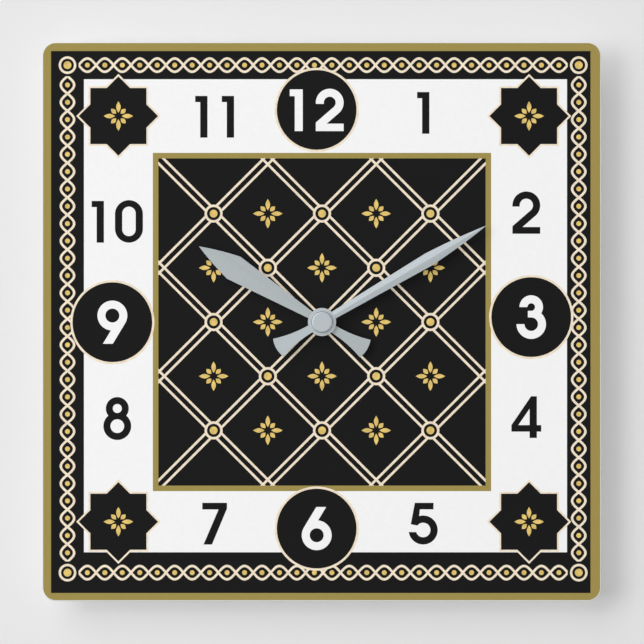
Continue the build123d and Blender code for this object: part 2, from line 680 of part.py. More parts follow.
with BuildPart() as rotor_magnet:
    rods([rotor_axis], MAGNET_RADIUS, magnet_back, magnet_back + MAGNET_THICKNESS)
    rods([rotor_axis], MAGNET_HUB_RADIUS, magnet_back, magnet_back + MAGNET_THICKNESS, Mode.SUBTRACT)

# Minute wheel and pinion, loose on the post of the front case
with BuildPart() as minute_wheel:
    toothed(minute_axis, MINUTE_TEETH, MOTION_MODULE, minute_phase, motion_back, motion_front)
    toothed(
        minute_axis, MINUTE_PINION, hour_module, minute_pinion_phase, motion_front, minute_pinion_front
    )
    rods([minute_axis], MINUTE_POST_RADIUS + RUN, motion_back, minute_pinion_front, Mode.SUBTRACT)

# Hand-setting stem with its pinion, and the knob on its end
with BuildPart() as setting_stem:
    rods([setting_axis], STEM_RADIUS, stem_back, motion_back)
    toothed(setting_axis, SETTING_TEETH, MOTION_MODULE, setting_phase, motion_back, motion_front)

with BuildPart() as setting_knob:
    with BuildSketch(at(KNOB_RECESS)):
        with Locations(setting_axis):
            Circle(KNOB_RADIUS)
            with PolarLocations(KNOB_RADIUS, KNOB_GRIPS):
                Circle(KNOB_GRIP_RADIUS, mode=Mode.SUBTRACT)
    extrude(amount=KNOB_THICKNESS)
    rods([setting_axis], STEM_RADIUS, stem_back, knob_front, Mode.SUBTRACT)

# Plate that carries the front pivots of the train
with BuildPart() as train_plate:
    with BuildSketch(at(plate_back)):
        with Locations((0, (plate_bottom + plate_top) / 2)):
            RectangleRounded(2 * plate_half, plate_top - plate_bottom, POST_RADIUS)
    extrude(amount=PLATE)
    rods([centre_axis], minute_arbor_radius + RUN, plate_back, plate_front, Mode.SUBTRACT)
    rods([setting_axis], STEM_RADIUS + RUN, plate_back, plate_front, Mode.SUBTRACT)
    rods(pivot_axes, PIVOT_RADIUS + RUN, plate_back, plate_front, Mode.SUBTRACT)
    rods(plate_posts, PIN_RADIUS, plate_back, plate_front, Mode.SUBTRACT)

# Stator: a bar with the rotor's ring and a leg to each end of the coil core
with BuildPart() as stator:
    leg_top = coil_z + CORE_WIDTH / 2
    bar_bottom = rotor_axis[1] - STATOR_BAR / 2
    with BuildSketch(at(stator_back)):
        with Locations(((stator_left + stator_right) / 2, rotor_axis[1])):
            Rectangle(stator_right - stator_left, STATOR_BAR)
        with Locations(*[(pin[0], (bar_bottom + leg_top) / 2) for pin in stator_pins]):
            Rectangle(STATOR_LEG, leg_top - bar_bottom)
        with Locations(rotor_axis):
            Circle(stator_ring_radius)
            Circle(MAGNET_RADIUS + STATOR_GAP, mode=Mode.SUBTRACT)
        with Locations(*stator_pins):
            Circle(STATOR_PIN_RADIUS, mode=Mode.SUBTRACT)
    extrude(amount=STATOR)

with BuildPart() as coil_core:
    with BuildSketch(at(core_back)):
        with Locations(((stator_left + stator_right) / 2, coil_z)):
            Rectangle(stator_right - stator_left, CORE_WIDTH)
        with Locations(*stator_pins):
            Circle(STATOR_PIN_RADIUS, mode=Mode.SUBTRACT)
    extrude(amount=STATOR)

# Bobbin round the core, with a terminal block up to the circuit board
core_room = CORE_WIDTH + 2 * RUN
barrel_radius = (CORE_WIDTH**2 + STATOR**2) ** 0.5 / 2 + BOBBIN_WALL
with BuildPart() as coil_bobbin:
    for start, length, radius in (
        (coil_left, COIL_LENGTH, barrel_radius),
        (coil_left, BOBBIN_FLANGE, coil_flange_radius),
        (coil_right - BOBBIN_FLANGE, BOBBIN_FLANGE, coil_flange_radius),
    ):
        with BuildSketch(Plane.YZ.offset(start)):
            with Locations((-coil_depth, coil_z)):
                Circle(radius)
        extrude(amount=length)
    with BuildSketch(at(coil_depth)):
        with Locations((coil_right - BOBBIN_FLANGE / 2, coil_z)):
            Rectangle(BOBBIN_FLANGE, CORE_WIDTH)
    extrude(amount=board_back - coil_depth)
    with BuildSketch(Plane.YZ.offset(coil_left)):
        with Locations((-coil_depth, coil_z)):
            Rectangle(STATOR + 2 * RUN, core_room)
    extrude(amount=COIL_LENGTH, mode=Mode.SUBTRACT)

with BuildPart() as coil_winding:
    with BuildSketch(Plane.YZ.offset(coil_left + BOBBIN_FLANGE)):
        with Locations((-coil_depth, coil_z)):
            Circle(COIL_RADIUS)
            Circle(barrel_radius, mode=Mode.SUBTRACT)
    extrude(amount=COIL_LENGTH - 2 * BOBBIN_FLANGE)

# Circuit board with its crystal and chip on the front face
with BuildPart() as circuit_board:
    with BuildSketch(at(board_back)):
        with Locations((0, board_z)):
            RectangleRounded(2 * board_half, BOARD_HEIGHT, chamber_corner)
        with Locations(*board_posts):
            Circle(PIN_RADIUS, mode=Mode.SUBTRACT)
    extrude(amount=BOARD)

with BuildPart() as quartz_crystal:
    with BuildSketch(Plane.YZ.offset(CRYSTAL_X - CRYSTAL_LENGTH / 2)):
        with Locations((-board_front - CRYSTAL_RADIUS, board_z)):
            Circle(CRYSTAL_RADIUS)
    extrude(amount=CRYSTAL_LENGTH)

with BuildPart() as driver_chip:
    rods([(CHIP_X, board_z)], CHIP_RADIUS, board_front, board_front + CHIP_HEIGHT)
    chamfer(driver_chip.edges().sort_by(Axis.Y)[0], CHIP_EDGE)

# AA cell, its positive end to the right
cell_left = bay_half - CONTACT_STRIP - RUN - CELL_LENGTH
with BuildPart() as battery:
    with BuildSketch(Plane.YZ.offset(cell_left)):
        with Locations((-cell_depth, cell_z)):
            Circle(CELL_DIAMETER / 2)
    extrude(amount=CELL_LENGTH - CELL_NUB_LENGTH)
    chamfer(battery.edges().filter_by(GeomType.CIRCLE), CELL_EDGE)
    with BuildSketch(Plane.YZ.offset(cell_left + CELL_LENGTH - CELL_NUB_LENGTH)):
        with Locations((-cell_depth, cell_z)):
            Circle(CELL_NUB_DIAMETER / 2)
    extrude(amount=CELL_NUB_LENGTH)

# Sprung contact strips from the bay up to the circuit board
strip_bottom = bay_floor + CELL_CLEARANCE
strip_top = board_z
with BuildPart() as positive_contact:
    with BuildSketch(at(CONTACT_BACK)):
        with Locations((bay_half - CONTACT_STRIP / 2, (strip_bottom + strip_top) / 2)):
            Rectangle(CONTACT_STRIP, strip_top - strip_bottom)
    extrude(amount=CONTACT_WIDTH)
    with BuildSketch(at(board_front)):
        with Locations((bay_half - CONTACT_TAB / 2, strip_top - CONTACT_TAB / 2)):
            Rectangle(CONTACT_TAB, CONTACT_TAB)
    extrude(amount=CONTACT_STRIP)

with BuildPart() as negative_contact:
    wall_x = -bay_half
    spring_low = cell_z - CONTACT_SPRING_SPAN / 2
    spring_high = cell_z + CONTACT_SPRING_SPAN / 2
    with BuildSketch(at(CONTACT_BACK)):
        for low, high in ((strip_bottom, spring_low), (spring_high, strip_top)):
            with Locations((wall_x + CONTACT_STRIP / 2, (low + high) / 2)):
                Rectangle(CONTACT_STRIP, high - low)
        with BuildLine():
            bow = ThreePointArc(
                (wall_x, spring_low), (wall_x + CONTACT_SPRING_RISE, cell_z), (wall_x, spring_high)
            )
            Line(bow @ 1, (wall_x + CONTACT_STRIP, spring_high))
            ThreePointArc(
                (wall_x + CONTACT_STRIP, spring_high),
                (wall_x + CONTACT_STRIP + CONTACT_SPRING_RISE, cell_z),
                (wall_x + CONTACT_STRIP, spring_low),
            )
            Line((wall_x + CONTACT_STRIP, spring_low), bow @ 0)
        make_face()
    extrude(amount=CONTACT_WIDTH)
    with BuildSketch(at(board_front)):
        with Locations((wall_x + CONTACT_TAB / 2, strip_top - CONTACT_TAB / 2)):
            Rectangle(CONTACT_TAB, CONTACT_TAB)
    extrude(amount=CONTACT_STRIP)

pieces = {
    "dial_panel": dial_panel,
    "front_case": front_case,
    "rear_cover": rear_cover,
    "hanger": hanger,
    "threaded_bushing": threaded_bushing,
    "dial_gasket": dial_gasket,
    "dial_washer": dial_washer,
    "hex_nut": hex_nut,
    "hour_hand": hour_hand,
    "minute_hand": minute_hand,
    "hand_cap": hand_cap,
    "hour_wheel": hour_wheel,
    "minute_arbor": minute_arbor,
    "clutch_spring": clutch_spring,
    "centre_wheel": centre_wheel,
    "third_wheel": third_wheel,
    "seconds_wheel": seconds_wheel,
    "intermediate_wheel": intermediate_wheel,
    "rotor_pinion": rotor_pinion,
    "rotor_magnet": rotor_magnet,
    "minute_wheel": minute_wheel,
    "setting_stem": setting_stem,
    "setting_knob": setting_knob,
    "train_plate": train_plate,
    "stator": stator,
    "coil_core": coil_core,
    "coil_bobbin": coil_bobbin,
    "coil_winding": coil_winding,
    "circuit_board": circuit_board,
    "quartz_crystal": quartz_crystal,
    "driver_chip": driver_chip,
    "battery": battery,
    "positive_contact": positive_contact,
    "negative_contact": negative_contact,
}
os.makedirs("parts", exist_ok=True)
for name, piece in pieces.items():
    piece.part.label = name
    export_step(piece.part, f"parts/{name}.step")
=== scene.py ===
import json
from math import acos, atan2, ceil, cos, degrees, dist, hypot, pi, radians, sin, sqrt

import bmesh
import bpy
from bpy.props import FloatProperty, FloatVectorProperty, IntProperty, PointerProperty
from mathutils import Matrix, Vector
from mathutils.geometry import tessellate_polygon


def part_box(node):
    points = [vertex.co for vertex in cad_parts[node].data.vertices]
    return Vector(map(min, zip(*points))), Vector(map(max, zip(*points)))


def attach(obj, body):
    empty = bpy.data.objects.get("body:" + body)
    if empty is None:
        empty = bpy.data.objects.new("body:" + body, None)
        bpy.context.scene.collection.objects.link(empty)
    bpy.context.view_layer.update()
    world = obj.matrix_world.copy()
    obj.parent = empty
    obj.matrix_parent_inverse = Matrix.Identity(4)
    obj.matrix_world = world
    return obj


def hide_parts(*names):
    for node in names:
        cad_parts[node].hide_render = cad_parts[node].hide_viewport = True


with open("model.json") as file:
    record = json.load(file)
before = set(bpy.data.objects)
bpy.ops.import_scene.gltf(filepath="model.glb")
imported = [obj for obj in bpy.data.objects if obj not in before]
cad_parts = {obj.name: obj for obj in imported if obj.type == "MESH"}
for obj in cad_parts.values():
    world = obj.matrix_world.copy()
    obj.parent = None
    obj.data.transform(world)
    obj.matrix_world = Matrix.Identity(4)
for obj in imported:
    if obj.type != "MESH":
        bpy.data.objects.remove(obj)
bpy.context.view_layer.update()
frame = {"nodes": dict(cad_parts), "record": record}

bl_info = {
    "name": "Square Wall Clock",
    "version": (1, 0, 0),
    "blender": (4, 5, 0),
    "location": "3D View > Sidebar > Clock",
    "description": "Prints, paints and lights a square acrylic wall clock on its packed frame",
    "category": "Object",
}

# Everything is in metres: x to the right, z up, and the dial looks along -y.
MM = 0.001
CLOCK = "clock_body"
CELL = "battery"

# What the frame gives
panel_low, panel_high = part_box("dial_panel")
_, washer_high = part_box("dial_washer")
cover_low, cover_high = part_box("rear_cover")
knob_low, knob_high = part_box("setting_knob")
cell_low, cell_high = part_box("battery")
panel_half = panel_high.x
panel_front = panel_low.y
washer_radius = washer_high.x
slot_of = {row["node"]: row["material_slot"] for row in frame["record"]["subparts"]}
base_of = {row["slot"]: row["base_color"] for row in frame["record"]["materials"]}

# How finely shapes are drawn
ARC_DEGREES = 6.0
RING_POINTS = 64
PETAL_STEPS = 10

# The hand axis, seen from the front
AXIS = (0, 0)

# Nearer points than this are one point of an outline, or of a mesh
DOUBLED = 0.01 * MM
SEAM = 0.001 * MM

STAR_POINTS = 8
PETALS = 8

# Sides of the face, in the order of their sizes
RIGHT, TOP, LEFT, BOTTOM = range(4)

# Coats of ink on the acrylic. A later one covers an earlier one.
COATS = ("border", "field", "band", "crossing", "knot", "plaque", "rim", "figure")

# How much each ink varies. The ornament's inks shimmer more than the grounds.
INK_MOTTLE = {"gold": 0.012, "black": 0.012, "white": 0.012, "cream": 0.09, "light_gold": 0.16}


def length(label, about, default):
    """A size that a user may change, its default in millimetres."""
    return FloatProperty(name=label, description=about, default=default * MM, unit="LENGTH", precision=5)


def edges(label, about, *defaults):
    """Sizes that a user may change, one for each side, their defaults in millimetres."""
    sizes = [default * MM for default in defaults]
    return FloatVectorProperty(
        name=label, description=about, default=sizes, size=4, unit="LENGTH", precision=5
    )


def colour(label, about, default):
    """A linear colour that a user may change."""
    return FloatVectorProperty(
        name=label, description=about, default=default, subtype="COLOR", min=0, max=1
    )


def power(label, about, default):
    """A lamp's power in watts that a user may change."""
    return FloatProperty(name=label, description=about, default=default, unit="POWER")


class ClockPrintSizes(bpy.types.PropertyGroup):
    """Sizes of the printed face."""

    edge: length("Bare edge", "Unprinted acrylic along the rim", 0.3)
    # Painted highlight: shifting the border up and left bares more white acrylic along the right and bottom
    # edges, a bright line standing in for light on the rim.
    register: length("Register", "Shift of the border print, up and to the left", 0.17)
    bleed: length("Bleed", "Border ink on the rounded rim", 0.15)
    border: edges("Gold border", "Width of the plain gold strip", 4.9, 3.7, 3.7, 3.7)
    hub: length("Hub clearance", "Unprinted ring round the dial washer", 0.15)
    band: edges("White band", "From the hand axis to the number band's edges", 119.8, 118.7, 116.4, 112.6)
    band_inner: length("Band inside", "Half the side of the white band's opening", 82.7)
    line: length("Gold line", "Width of the gold line inside the band", 2.7)
    plaque: length("Plaque radius", "Half the width of a plaque", 20.6)
    rim: length("Plaque rim", "Pale line round a quarter plaque", 1.1)
    star_rim: length("Star rim", "Pale line at the points of a corner plaque", 1.21)
    trellis: length("Trellis pitch", "Diagonal of one diamond of the trellis", 53.0)
    wire: length("Fine line", "Width of a line of the ornament", 1.15)
    wire_gap: length("Trellis gap", "Distance between the two lines of a pair", 3.4)
    knot: length("Knot", "Radius of the ring where the trellis crosses", 4.4)
    dot: length("Knot dot", "Radius of the dot in a knot", 1.9)
    petal_start: length("Petal start", "From a flower's middle to its petals", 1.6)
    petal_long: length("Long petal", "Reach of a long petal", 7.2)
    petal_short: length("Short petal", "Reach of a short petal", 5.0)
    petal_width: length("Petal width", "Width of a petal", 2.2)
    waves: IntProperty(name="Waves", description="Waves of the border on a side", default=14, min=1)
    wave_height: length("Wave height", "Reach of a wave to each side", 3.3)
    bead: length("Bead", "Radius of a bead in the border", 1.2)
    corner_bead: length("Corner bead", "Radius of the bead in a corner ring", 1.92)
    ring: length("Corner ring", "Radius of the ring in a corner", 4.3)
    ink: length("Ink step", "Height of one coat of ink", 0.015)


class ClockNumeralSizes(bpy.types.PropertyGroup):
    """Sizes of the hour numerals."""

    height: length("Height", "Height of a flat-topped numeral", 20.4)
    dark_stroke: length("Dark stroke", "Stroke of the black numerals", 3.55)
    light_stroke: length("Light stroke", "Stroke of the white quarter numerals", 3.9)
    dark_gap: length("Dark gap", "Space in a black numeral", 5.4)
    light_gap: length("Light gap", "Space in a white numeral", 6.4)
    kern: length("Kern", "Further space before a second one", 1.6)
    far: edges("Rows", "From the hand axis to the hours of a side", 99.9, 101.3, 100.1, 98.6)
    middle: edges("Middles", "Where the hours of a side are centred along it", 3.5, -1.5, 1.0, -1.5)
    spread: edges("Spread", "From a quarter to the hours beside it", 50.0, 51.0, 48.2, 51.0)
    lean: length("Lean", "Rise of the upper row to its right end", 0.95)
    outward: length("Outward", "Shift of the quarters out of their row", 2.4)
    aside: length("Aside", "Shift of the quarters to the left or down", 1.1)


class ClockFinishColours(bpy.types.PropertyGroup):
    """Colours of the clock's finishes."""

    gold_ink: colour("Gold ink", "Printed border", (0.332, 0.262, 0.076))
    black_ink: colour("Black ink", "Printed ground", (0.0080, 0.0080, 0.0083))
    white_ink: colour("White ink", "Number band and quarter numerals", (0.88, 0.88, 0.885))
    cream_ink: colour("Cream ink", "Lines of the ornament", (0.84, 0.73, 0.57))
    light_gold_ink: colour("Light gold ink", "Flowers and beads of the ornament", (0.72, 0.52, 0.16))
    minute_paint: colour("Minute paint", "Silver-grey minute hand and cap", base_of["hand_paint"])
    # Painted shade: the hour hand's paint is the minute hand's silver-grey made darker, not a different
    # paint.
    hour_paint: colour("Hour paint", "Hour hand, a shade darker", (0.389, 0.428, 0.439))
    acrylic: colour("Acrylic", "White acrylic sheet", base_of["white_acrylic"])
    case: colour("Case", "Black moulding of the movement", base_of["case_plastic"])
    brass: colour("Brass", "Turned brass of the fixing", (0.72, 0.52, 0.24))
    copper: colour("Copper", "Wire of the coil", (0.60, 0.25, 0.09))
    cell_sleeve: colour("Cell sleeve", "Film round the cell", (0.045, 0.10, 0.16))
    cell_band: colour("Cell band", "Silver band on the film", (0.62, 0.63, 0.64))
    cell_steel: colour("Cell steel", "Can of the cell", (0.62, 0.62, 0.63))
    wall: colour("Wall", "Pale wall behind the clock", (0.775, 0.775, 0.775))


class ClockStageSettings(bpy.types.PropertyGroup):
    """Light and camera."""

    distance: length("Camera distance", "From the camera to the printed face", 1600)
    view_width: length("View width", "Width of the picture at the printed face", 314.9)
    key_power: power("Key power", "Power of the upper left lamp", 48.0)
    side_power: power("Side power", "Power of the left lamp", 43.5)
    front_power: power("Front power", "Power of the front lamp", 30.3)
    rear_power: power("Rear power", "Power of each lamp behind", 14.0)
    sky: FloatProperty(name="Sky", description="Strength of the even light from all sides", default=0.12)
    backdrop: colour("Backdrop", "What shows beyond the wall", (0.80, 0.80, 0.80))


# Outlines in the dial plane. A shape is a list of them: its rim, then its holes.


def polar(centre, radius, angle):
    """Point at a radius and an angle in degrees round a centre."""
    return centre[0] + radius * cos(radians(angle)), centre[1] + radius * sin(radians(angle))


def arc(centre, radius, start, end):
    """Points of an arc from one angle to another, in degrees."""
    steps = max(2, ceil(abs(end - start) / ARC_DEGREES))
    return [polar(centre, radius, start + (end - start) * i / steps) for i in range(steps + 1)]


def circle(centre, radius):
    """Points of a full circle."""
    return arc(centre, radius, 0, 360)[:-1]


def corners(right, top, left, bottom):
    """Corners of an upright rectangle from its distances to the hand axis."""
    return [(right, top), (-left, top), (-left, -bottom), (right, -bottom)]


def square(half):
    """Corners of a square about the hand axis."""
    return corners(half, half, half, half)


def rounded_square(half, radius):
    """Outline of a square about the hand axis with round corners."""
    centres = square(half - radius)
    return [p for i, c in enumerate(centres) for p in arc(c, radius, 90 * i, 90 * i + 90)]


def star(centre, radius):
    """Eight-pointed star: two squares set across each other."""
    step = 180 / STAR_POINTS
    notch = radius * cos(radians(2 * step)) / cos(radians(step))
    return [polar(centre, notch if i % 2 else radius, step * i) for i in range(2 * STAR_POINTS)]


def petal(centre, start, end, width, angle):
    """Leaf shape along a ray from a centre, pointed at both ends."""
    shares = [i / PETAL_STEPS for i in range(PETAL_STEPS + 1)]
    side = [(start + (end - start) * share, width / 2 * sin(pi * share)) for share in shares]
    outline = side + [(along, -across) for along, across in reversed(side[1:-1])]
    c, s = cos(radians(angle)), sin(radians(angle))
    return [(centre[0] + a * c - b * s, centre[1] + a * s + b * c) for a, b in outline]


def discs(centres, radius):
    """Shapes of round dots."""
    return [[circle(c, radius)] for c in centres]


def hoops(centres, radius, width):
    """Shapes of flat rings."""
    return [[circle(c, radius), circle(c, radius - width)] for c in centres]


def flowers(centres):
    """Shapes of small flowers, with long and short petals in turn."""
    sizes = bpy.context.scene.clock_print
    ends = (sizes.petal_long, sizes.petal_short)
    return [
        [petal(c, sizes.petal_start, ends[i % 2], sizes.petal_width, 360 / PETALS * i)]
        for c in centres
        for i in range(PETALS)
    ]


def moved(points, across, up):
    """Points shifted to the right and up."""
    return [(x + across, z + up) for x, z in points]


def turned(points):
    """Points turned about the hand axis by a quarter turn."""
    return [(-z, x) for x, z in points]


def clipped(points, half):
    """Convex outline cut to a square about the hand axis."""
    for _ in range(4):
        kept = []
        ahead = points[1:] + points[:1]
        for (x0, z0), (x1, z1) in zip(points, ahead):
            if x0 <= half:
                kept.append((x0, z0))
            if (x0 <= half) != (x1 <= half):
                kept.append((half, z0 + (z1 - z0) * (half - x0) / (x1 - x0)))
        points = turned(kept)
    return points


def crossing(low, low_radius, high, high_radius):
    """Angles, from two centres one above the other, of where their circles cross on the right."""
    rise = high[1] - low[1]
    up = (rise**2 + low_radius**2 - high_radius**2) / (2 * rise)
    out = sqrt(low_radius**2 - up**2)
    return degrees(atan2(up, out)), degrees(atan2(up - rise, out))


def joined(*parts):
    """One closed outline from points and runs of points, without doubled points."""
    points = [p for part in parts for p in (part if isinstance(part, list) else [part])]
    ahead = points[1:] + points[:1]
    return [p for p, q in zip(points, ahead) if dist(p, q) > DOUBLED]


# Hour figures. Each gives its shape from its height and stroke, with sizes as shares of those.

# Height of a six up to the tip of its tail
SIX_RISE = 1.035


def figure_0(height, stroke):
    half = 0.335 * height
    top = 1.02 * height - half
    hole = half - stroke
    rise = 0.1 * stroke
    outer = joined(arc((0, top), half, 0, 180), arc((0, half), half, 180, 360))
    inner = joined(arc((0, top + rise), hole, 0, 180), arc((0, half - rise), hole, 180, 360))
    return [outer, inner]


def figure_1(height, stroke):
    flag = 0.12 * height
    under = height - 0.85 * stroke
    return [[(0, 0), (stroke, 0), (stroke, height), (-flag, height), (-flag, under), (0, under)]]


def figure_2(height, stroke):
    bowl = 0.333 * height
    centre = (0, 1.015 * height - bowl)
    lean = -49
    base = 0.93 * stroke
    slope = cos(radians(lean)) / -sin(radians(lean))
    hook = centre[1] - 0.03 * height
    leave = polar(centre, bowl, lean)
    arrive = polar(centre, bowl - stroke, lean)
    foot = leave[0] - (leave[1] - base) / slope
    heel = arrive[1] - (arrive[0] + bowl) * slope
    outer = joined(
        (-bowl, hook), arc(centre, bowl, 180, lean), (foot, base), (bowl, base),
        (bowl, 0), (-bowl, 0), (-bowl, heel), arc(centre, bowl - stroke, lean, 180),
        (stroke - bowl, hook),
    )
    return [outer]


def figure_3(height, stroke):
    small, large = 0.282 * height, 0.353 * height
    high, low = (0, 1.045 * height - small), (0, large)
    bar = -0.08 * height
    from_low, from_high = crossing(low, large, high, small)
    outer = joined(
        arc(high, small, 180, from_high),
        arc(low, large, from_low, -180),
        arc(low, large - stroke, -180, 90),
        (bar, low[1] + large - stroke),
        (bar, high[1] - small + stroke),
        arc(high, small - stroke, -90, 180),
    )
    return [outer]


def figure_4(height, stroke):
    stem = 0.436 * height
    end = 0.715 * height
    bar = 0.152 * height
    top = bar + 0.9 * stroke
    slant = stem + 0.2 * stroke
    hole_corner = 0.165 * height
    hole_top = 0.7 * height
    right = stem + stroke
    outer = [
        (stem, 0), (right, 0), (right, bar), (end, bar), (end, top), (right, top),
        (right, height), (slant, height), (0, top), (0, bar), (stem, bar),
    ]
    return [outer, [(stem, top), (stem, hole_top), (hole_corner, top)]]


def figure_5(height, stroke):
    bowl = 0.348 * height
    centre = (0, bowl)
    under = height - 0.9 * stroke
    left, right = -0.2 * height, 0.248 * height
    neck = (-0.297 * height, 0.485 * height)
    inner_start, inner_end = 142, -163
    outer_start, outer_end = -172, 106
    outer = joined(
        (left, height), neck, arc(centre, bowl - stroke, inner_start, inner_end),
        arc(centre, bowl, outer_start, outer_end),
        (left + 0.7 * stroke, under), (right, under), (right, height),
    )
    return [outer]


def figure_6(height, stroke):
    bowl = 0.358 * height
    centre = (0, bowl)
    tip = (-0.01 * height, SIX_RISE * height)
    end = (tip[0] + 1.24 * stroke, tip[1])
    rise = tip[1] - bowl
    reach = hypot(tip[0], rise)
    touch = degrees(atan2(rise, tip[0]) + acos(bowl / reach))
    spot = polar(centre, bowl, touch)
    run = dist(spot, tip)
    way = ((spot[0] - tip[0]) / run, (spot[1] - tip[1]) / run)
    dot = end[0] * way[0] + rise * way[1]
    step = -dot - sqrt(dot**2 - end[0] ** 2 - rise**2 + bowl**2)
    meet = degrees(atan2(rise + step * way[1], end[0] + step * way[0]))
    return [joined(tip, arc(centre, bowl, touch, 360 + meet), end), circle(centre, bowl - stroke)]


def figure_7(height, stroke):
    half = 0.296 * height
    under = height - 0.92 * stroke
    corner = height - 0.8 * stroke
    foot = -0.064 * height
    foot_width = 1.16 * stroke
    bend = 0.093 * height
    outer = [
        (-half, height), (half, height), (half, corner), (foot, 0),
        (foot - foot_width, 0), (bend, under), (-half, under),
    ]
    return [outer]


def figure_8(height, stroke):
    small, large = 0.275 * height, 0.333 * height
    high, low = (0, 1.03 * height - small), (0, large)
    high_stroke, low_stroke = 0.96 * stroke, 0.97 * stroke
    from_low, from_high = crossing(low, large, high, small)
    outer = joined(
        arc(high, small, from_high, 180 - from_high), arc(low, large, 180 - from_low, 360 + from_low)
    )
    return [outer, circle(high, small - high_stroke), circle(low, large - low_stroke)]


def figure_9(height, stroke):
    return [[(-x, SIX_RISE * height - z) for x, z in loop] for loop in figure_6(height, stroke)]


FIGURES = (
    figure_0, figure_1, figure_2, figure_3, figure_4, figure_5, figure_6, figure_7, figure_8, figure_9
)


def numeral(number, centre, height, stroke, gap, kern):
    """Shapes of a whole number, its box centred on a point."""
    shapes, edge = [], 0.0
    for figure in str(number):
        shape = FIGURES[int(figure)](height, stroke)
        if shapes and figure == "1":
            edge += kern
        shift = edge - min(x for x, _ in shape[0])
        shapes.append([moved(loop, shift, 0) for loop in shape])
        edge = max(x for x, _ in shapes[-1][0]) + gap
    spread, heights = zip(*[point for shape in shapes for point in shape[0]])
    across = centre[0] - (min(spread) + max(spread)) / 2
    up = centre[1] - (min(heights) + max(heights)) / 2
    return [[moved(loop, across, up) for loop in shape] for shape in shapes]


# Places on the printed face


def panel_corner():
    """Corner radius of the panel, read from where its top edge ends."""
    points = [vertex.co for vertex in frame["nodes"]["dial_panel"].data.vertices]
    return panel_half - max(point.x for point in points if point.z > panel_high.z - SEAM)


def field_edges():
    """Edges of the black ground from the hand axis."""
    sizes = bpy.context.scene.clock_print
    return [panel_half - sizes.edge - width for width in sizes.border]


def midway(others):
    """Distances halfway between the band's edges and other edges."""
    return [(edge + other) / 2 for edge, other in zip(bpy.context.scene.clock_print.band, others)]


def hour_spot(hour):
    """Middle of an hour's numeral. Each side has a quarter with one hour before and one after it."""
    sizes = bpy.context.scene.clock_numerals
    quarter, step = divmod(hour + 1, 3)
    side, turn = (TOP - quarter) % 4, step - 1
    out, aside = (0.0, 0.0) if turn else (sizes.outward, sizes.aside)
    far = sizes.far[side] + out
    ahead = turn * sizes.spread[side] * (1 if side in (TOP, LEFT) else -1)
    along = sizes.middle[side] - aside + ahead
    return ((far, along), (along, far + turn * sizes.lean), (-far, along), (along, -far))[side]


# Meshes


def placed(name, data):
    """A new object in the scene."""
    thing = bpy.data.objects.new(name, data)
    bpy.context.scene.collection.objects.link(thing)
    return thing


def piece(name, mesh, material, body):
    """A new object of the clock that moves with a body."""
    thing = placed(name, mesh)
    thing.data.materials.append(material)
    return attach(thing, body)


def closed_mesh(name, verts, faces):
    """Closed mesh with every face turned outwards."""
    mesh = bpy.data.meshes.new(name)
    mesh.from_pydata(verts, [], faces)
    shell = bmesh.new()
    shell.from_mesh(mesh)
    bmesh.ops.recalc_face_normals(shell, faces=shell.faces)
    shell.to_mesh(mesh)
    shell.free()
    return mesh


def slab(name, shapes, back, front, material, body=CLOCK):
    """Closed flat piece of some shapes between two depths."""
    verts, faces = [], []
    for shape in shapes:
        first = len(verts)
        flat = [p for loop in shape for p in loop]
        verts += [(x, back, z) for x, z in flat] + [(x, front, z) for x, z in flat]
        triangles = tessellate_polygon([[Vector((x, z, 0)) for x, z in loop] for loop in shape])
        if len(triangles) < len(flat) - 2:
            raise RuntimeError(f"{name}: an outline crosses itself and can't be filled")
        faces += [[first + i for i in t] for t in triangles]
        faces += [[first + len(flat) + i for i in reversed(t)] for t in triangles]
        start = first
        for loop in shape:
            for i in range(len(loop)):
                j = (i + 1) % len(loop)
                faces.append((start + i, start + j, start + len(flat) + j, start + len(flat) + i))
            start += len(loop)
    return piece(name, closed_mesh(name, verts, faces), material, body)


def ink_layer(name, shapes, coat, ink, sink=0.0):
    """One coat of an ink on the acrylic."""
    height = bpy.context.scene.clock_print.ink * (COATS.index(coat) + 1)
    return slab(name, shapes, panel_front + sink, panel_front - height, ink_finish(ink))


def ring_points(centre, radius):
    """Points of a turned ring, seen along its axis."""
    return [polar(centre, radius, 360 * i / RING_POINTS) for i in range(RING_POINTS)]


def skinned(name, rings, material, body, sharp):
    """Closed piece over rings of points, smooth up to a sharp angle in degrees. It begins and ends with
    a single point, or its last ring is joined to its first."""
    verts, loops = [], []
    for ring in rings:
        loops.append([len(verts) + i % len(ring) for i in range(RING_POINTS + 1)])
        verts += ring
    if len(rings[0]) > 1:
        loops.append(loops[0])
    faces = []
    for near, far in zip(loops, loops[1:]):
        for i in range(RING_POINTS):
            face = (near[i], near[i + 1], far[i + 1], far[i])
            faces.append(list(dict.fromkeys(face)))
    mesh = closed_mesh(name, verts, faces)
    mesh.shade_smooth()
    mesh.set_sharp_from_angle(angle=radians(sharp))
    return piece(name, mesh, material, body)


def soften(node, width):
    """Rounds the sharp edges of a carried-over piece as its tool or mould would."""
    thing = frame["nodes"][node]
    weld = thing.modifiers.new("Close seams", "WELD")
    weld.merge_threshold = SEAM
    edge = thing.modifiers.new("Soft edges", "BEVEL")
    edge.width = width
    edge.segments = 2
    edge.limit_method = "ANGLE"
    edge.angle_limit = radians(40)
    edge.use_clamp_overlap = True
    edge.harden_normals = True


# Finishes


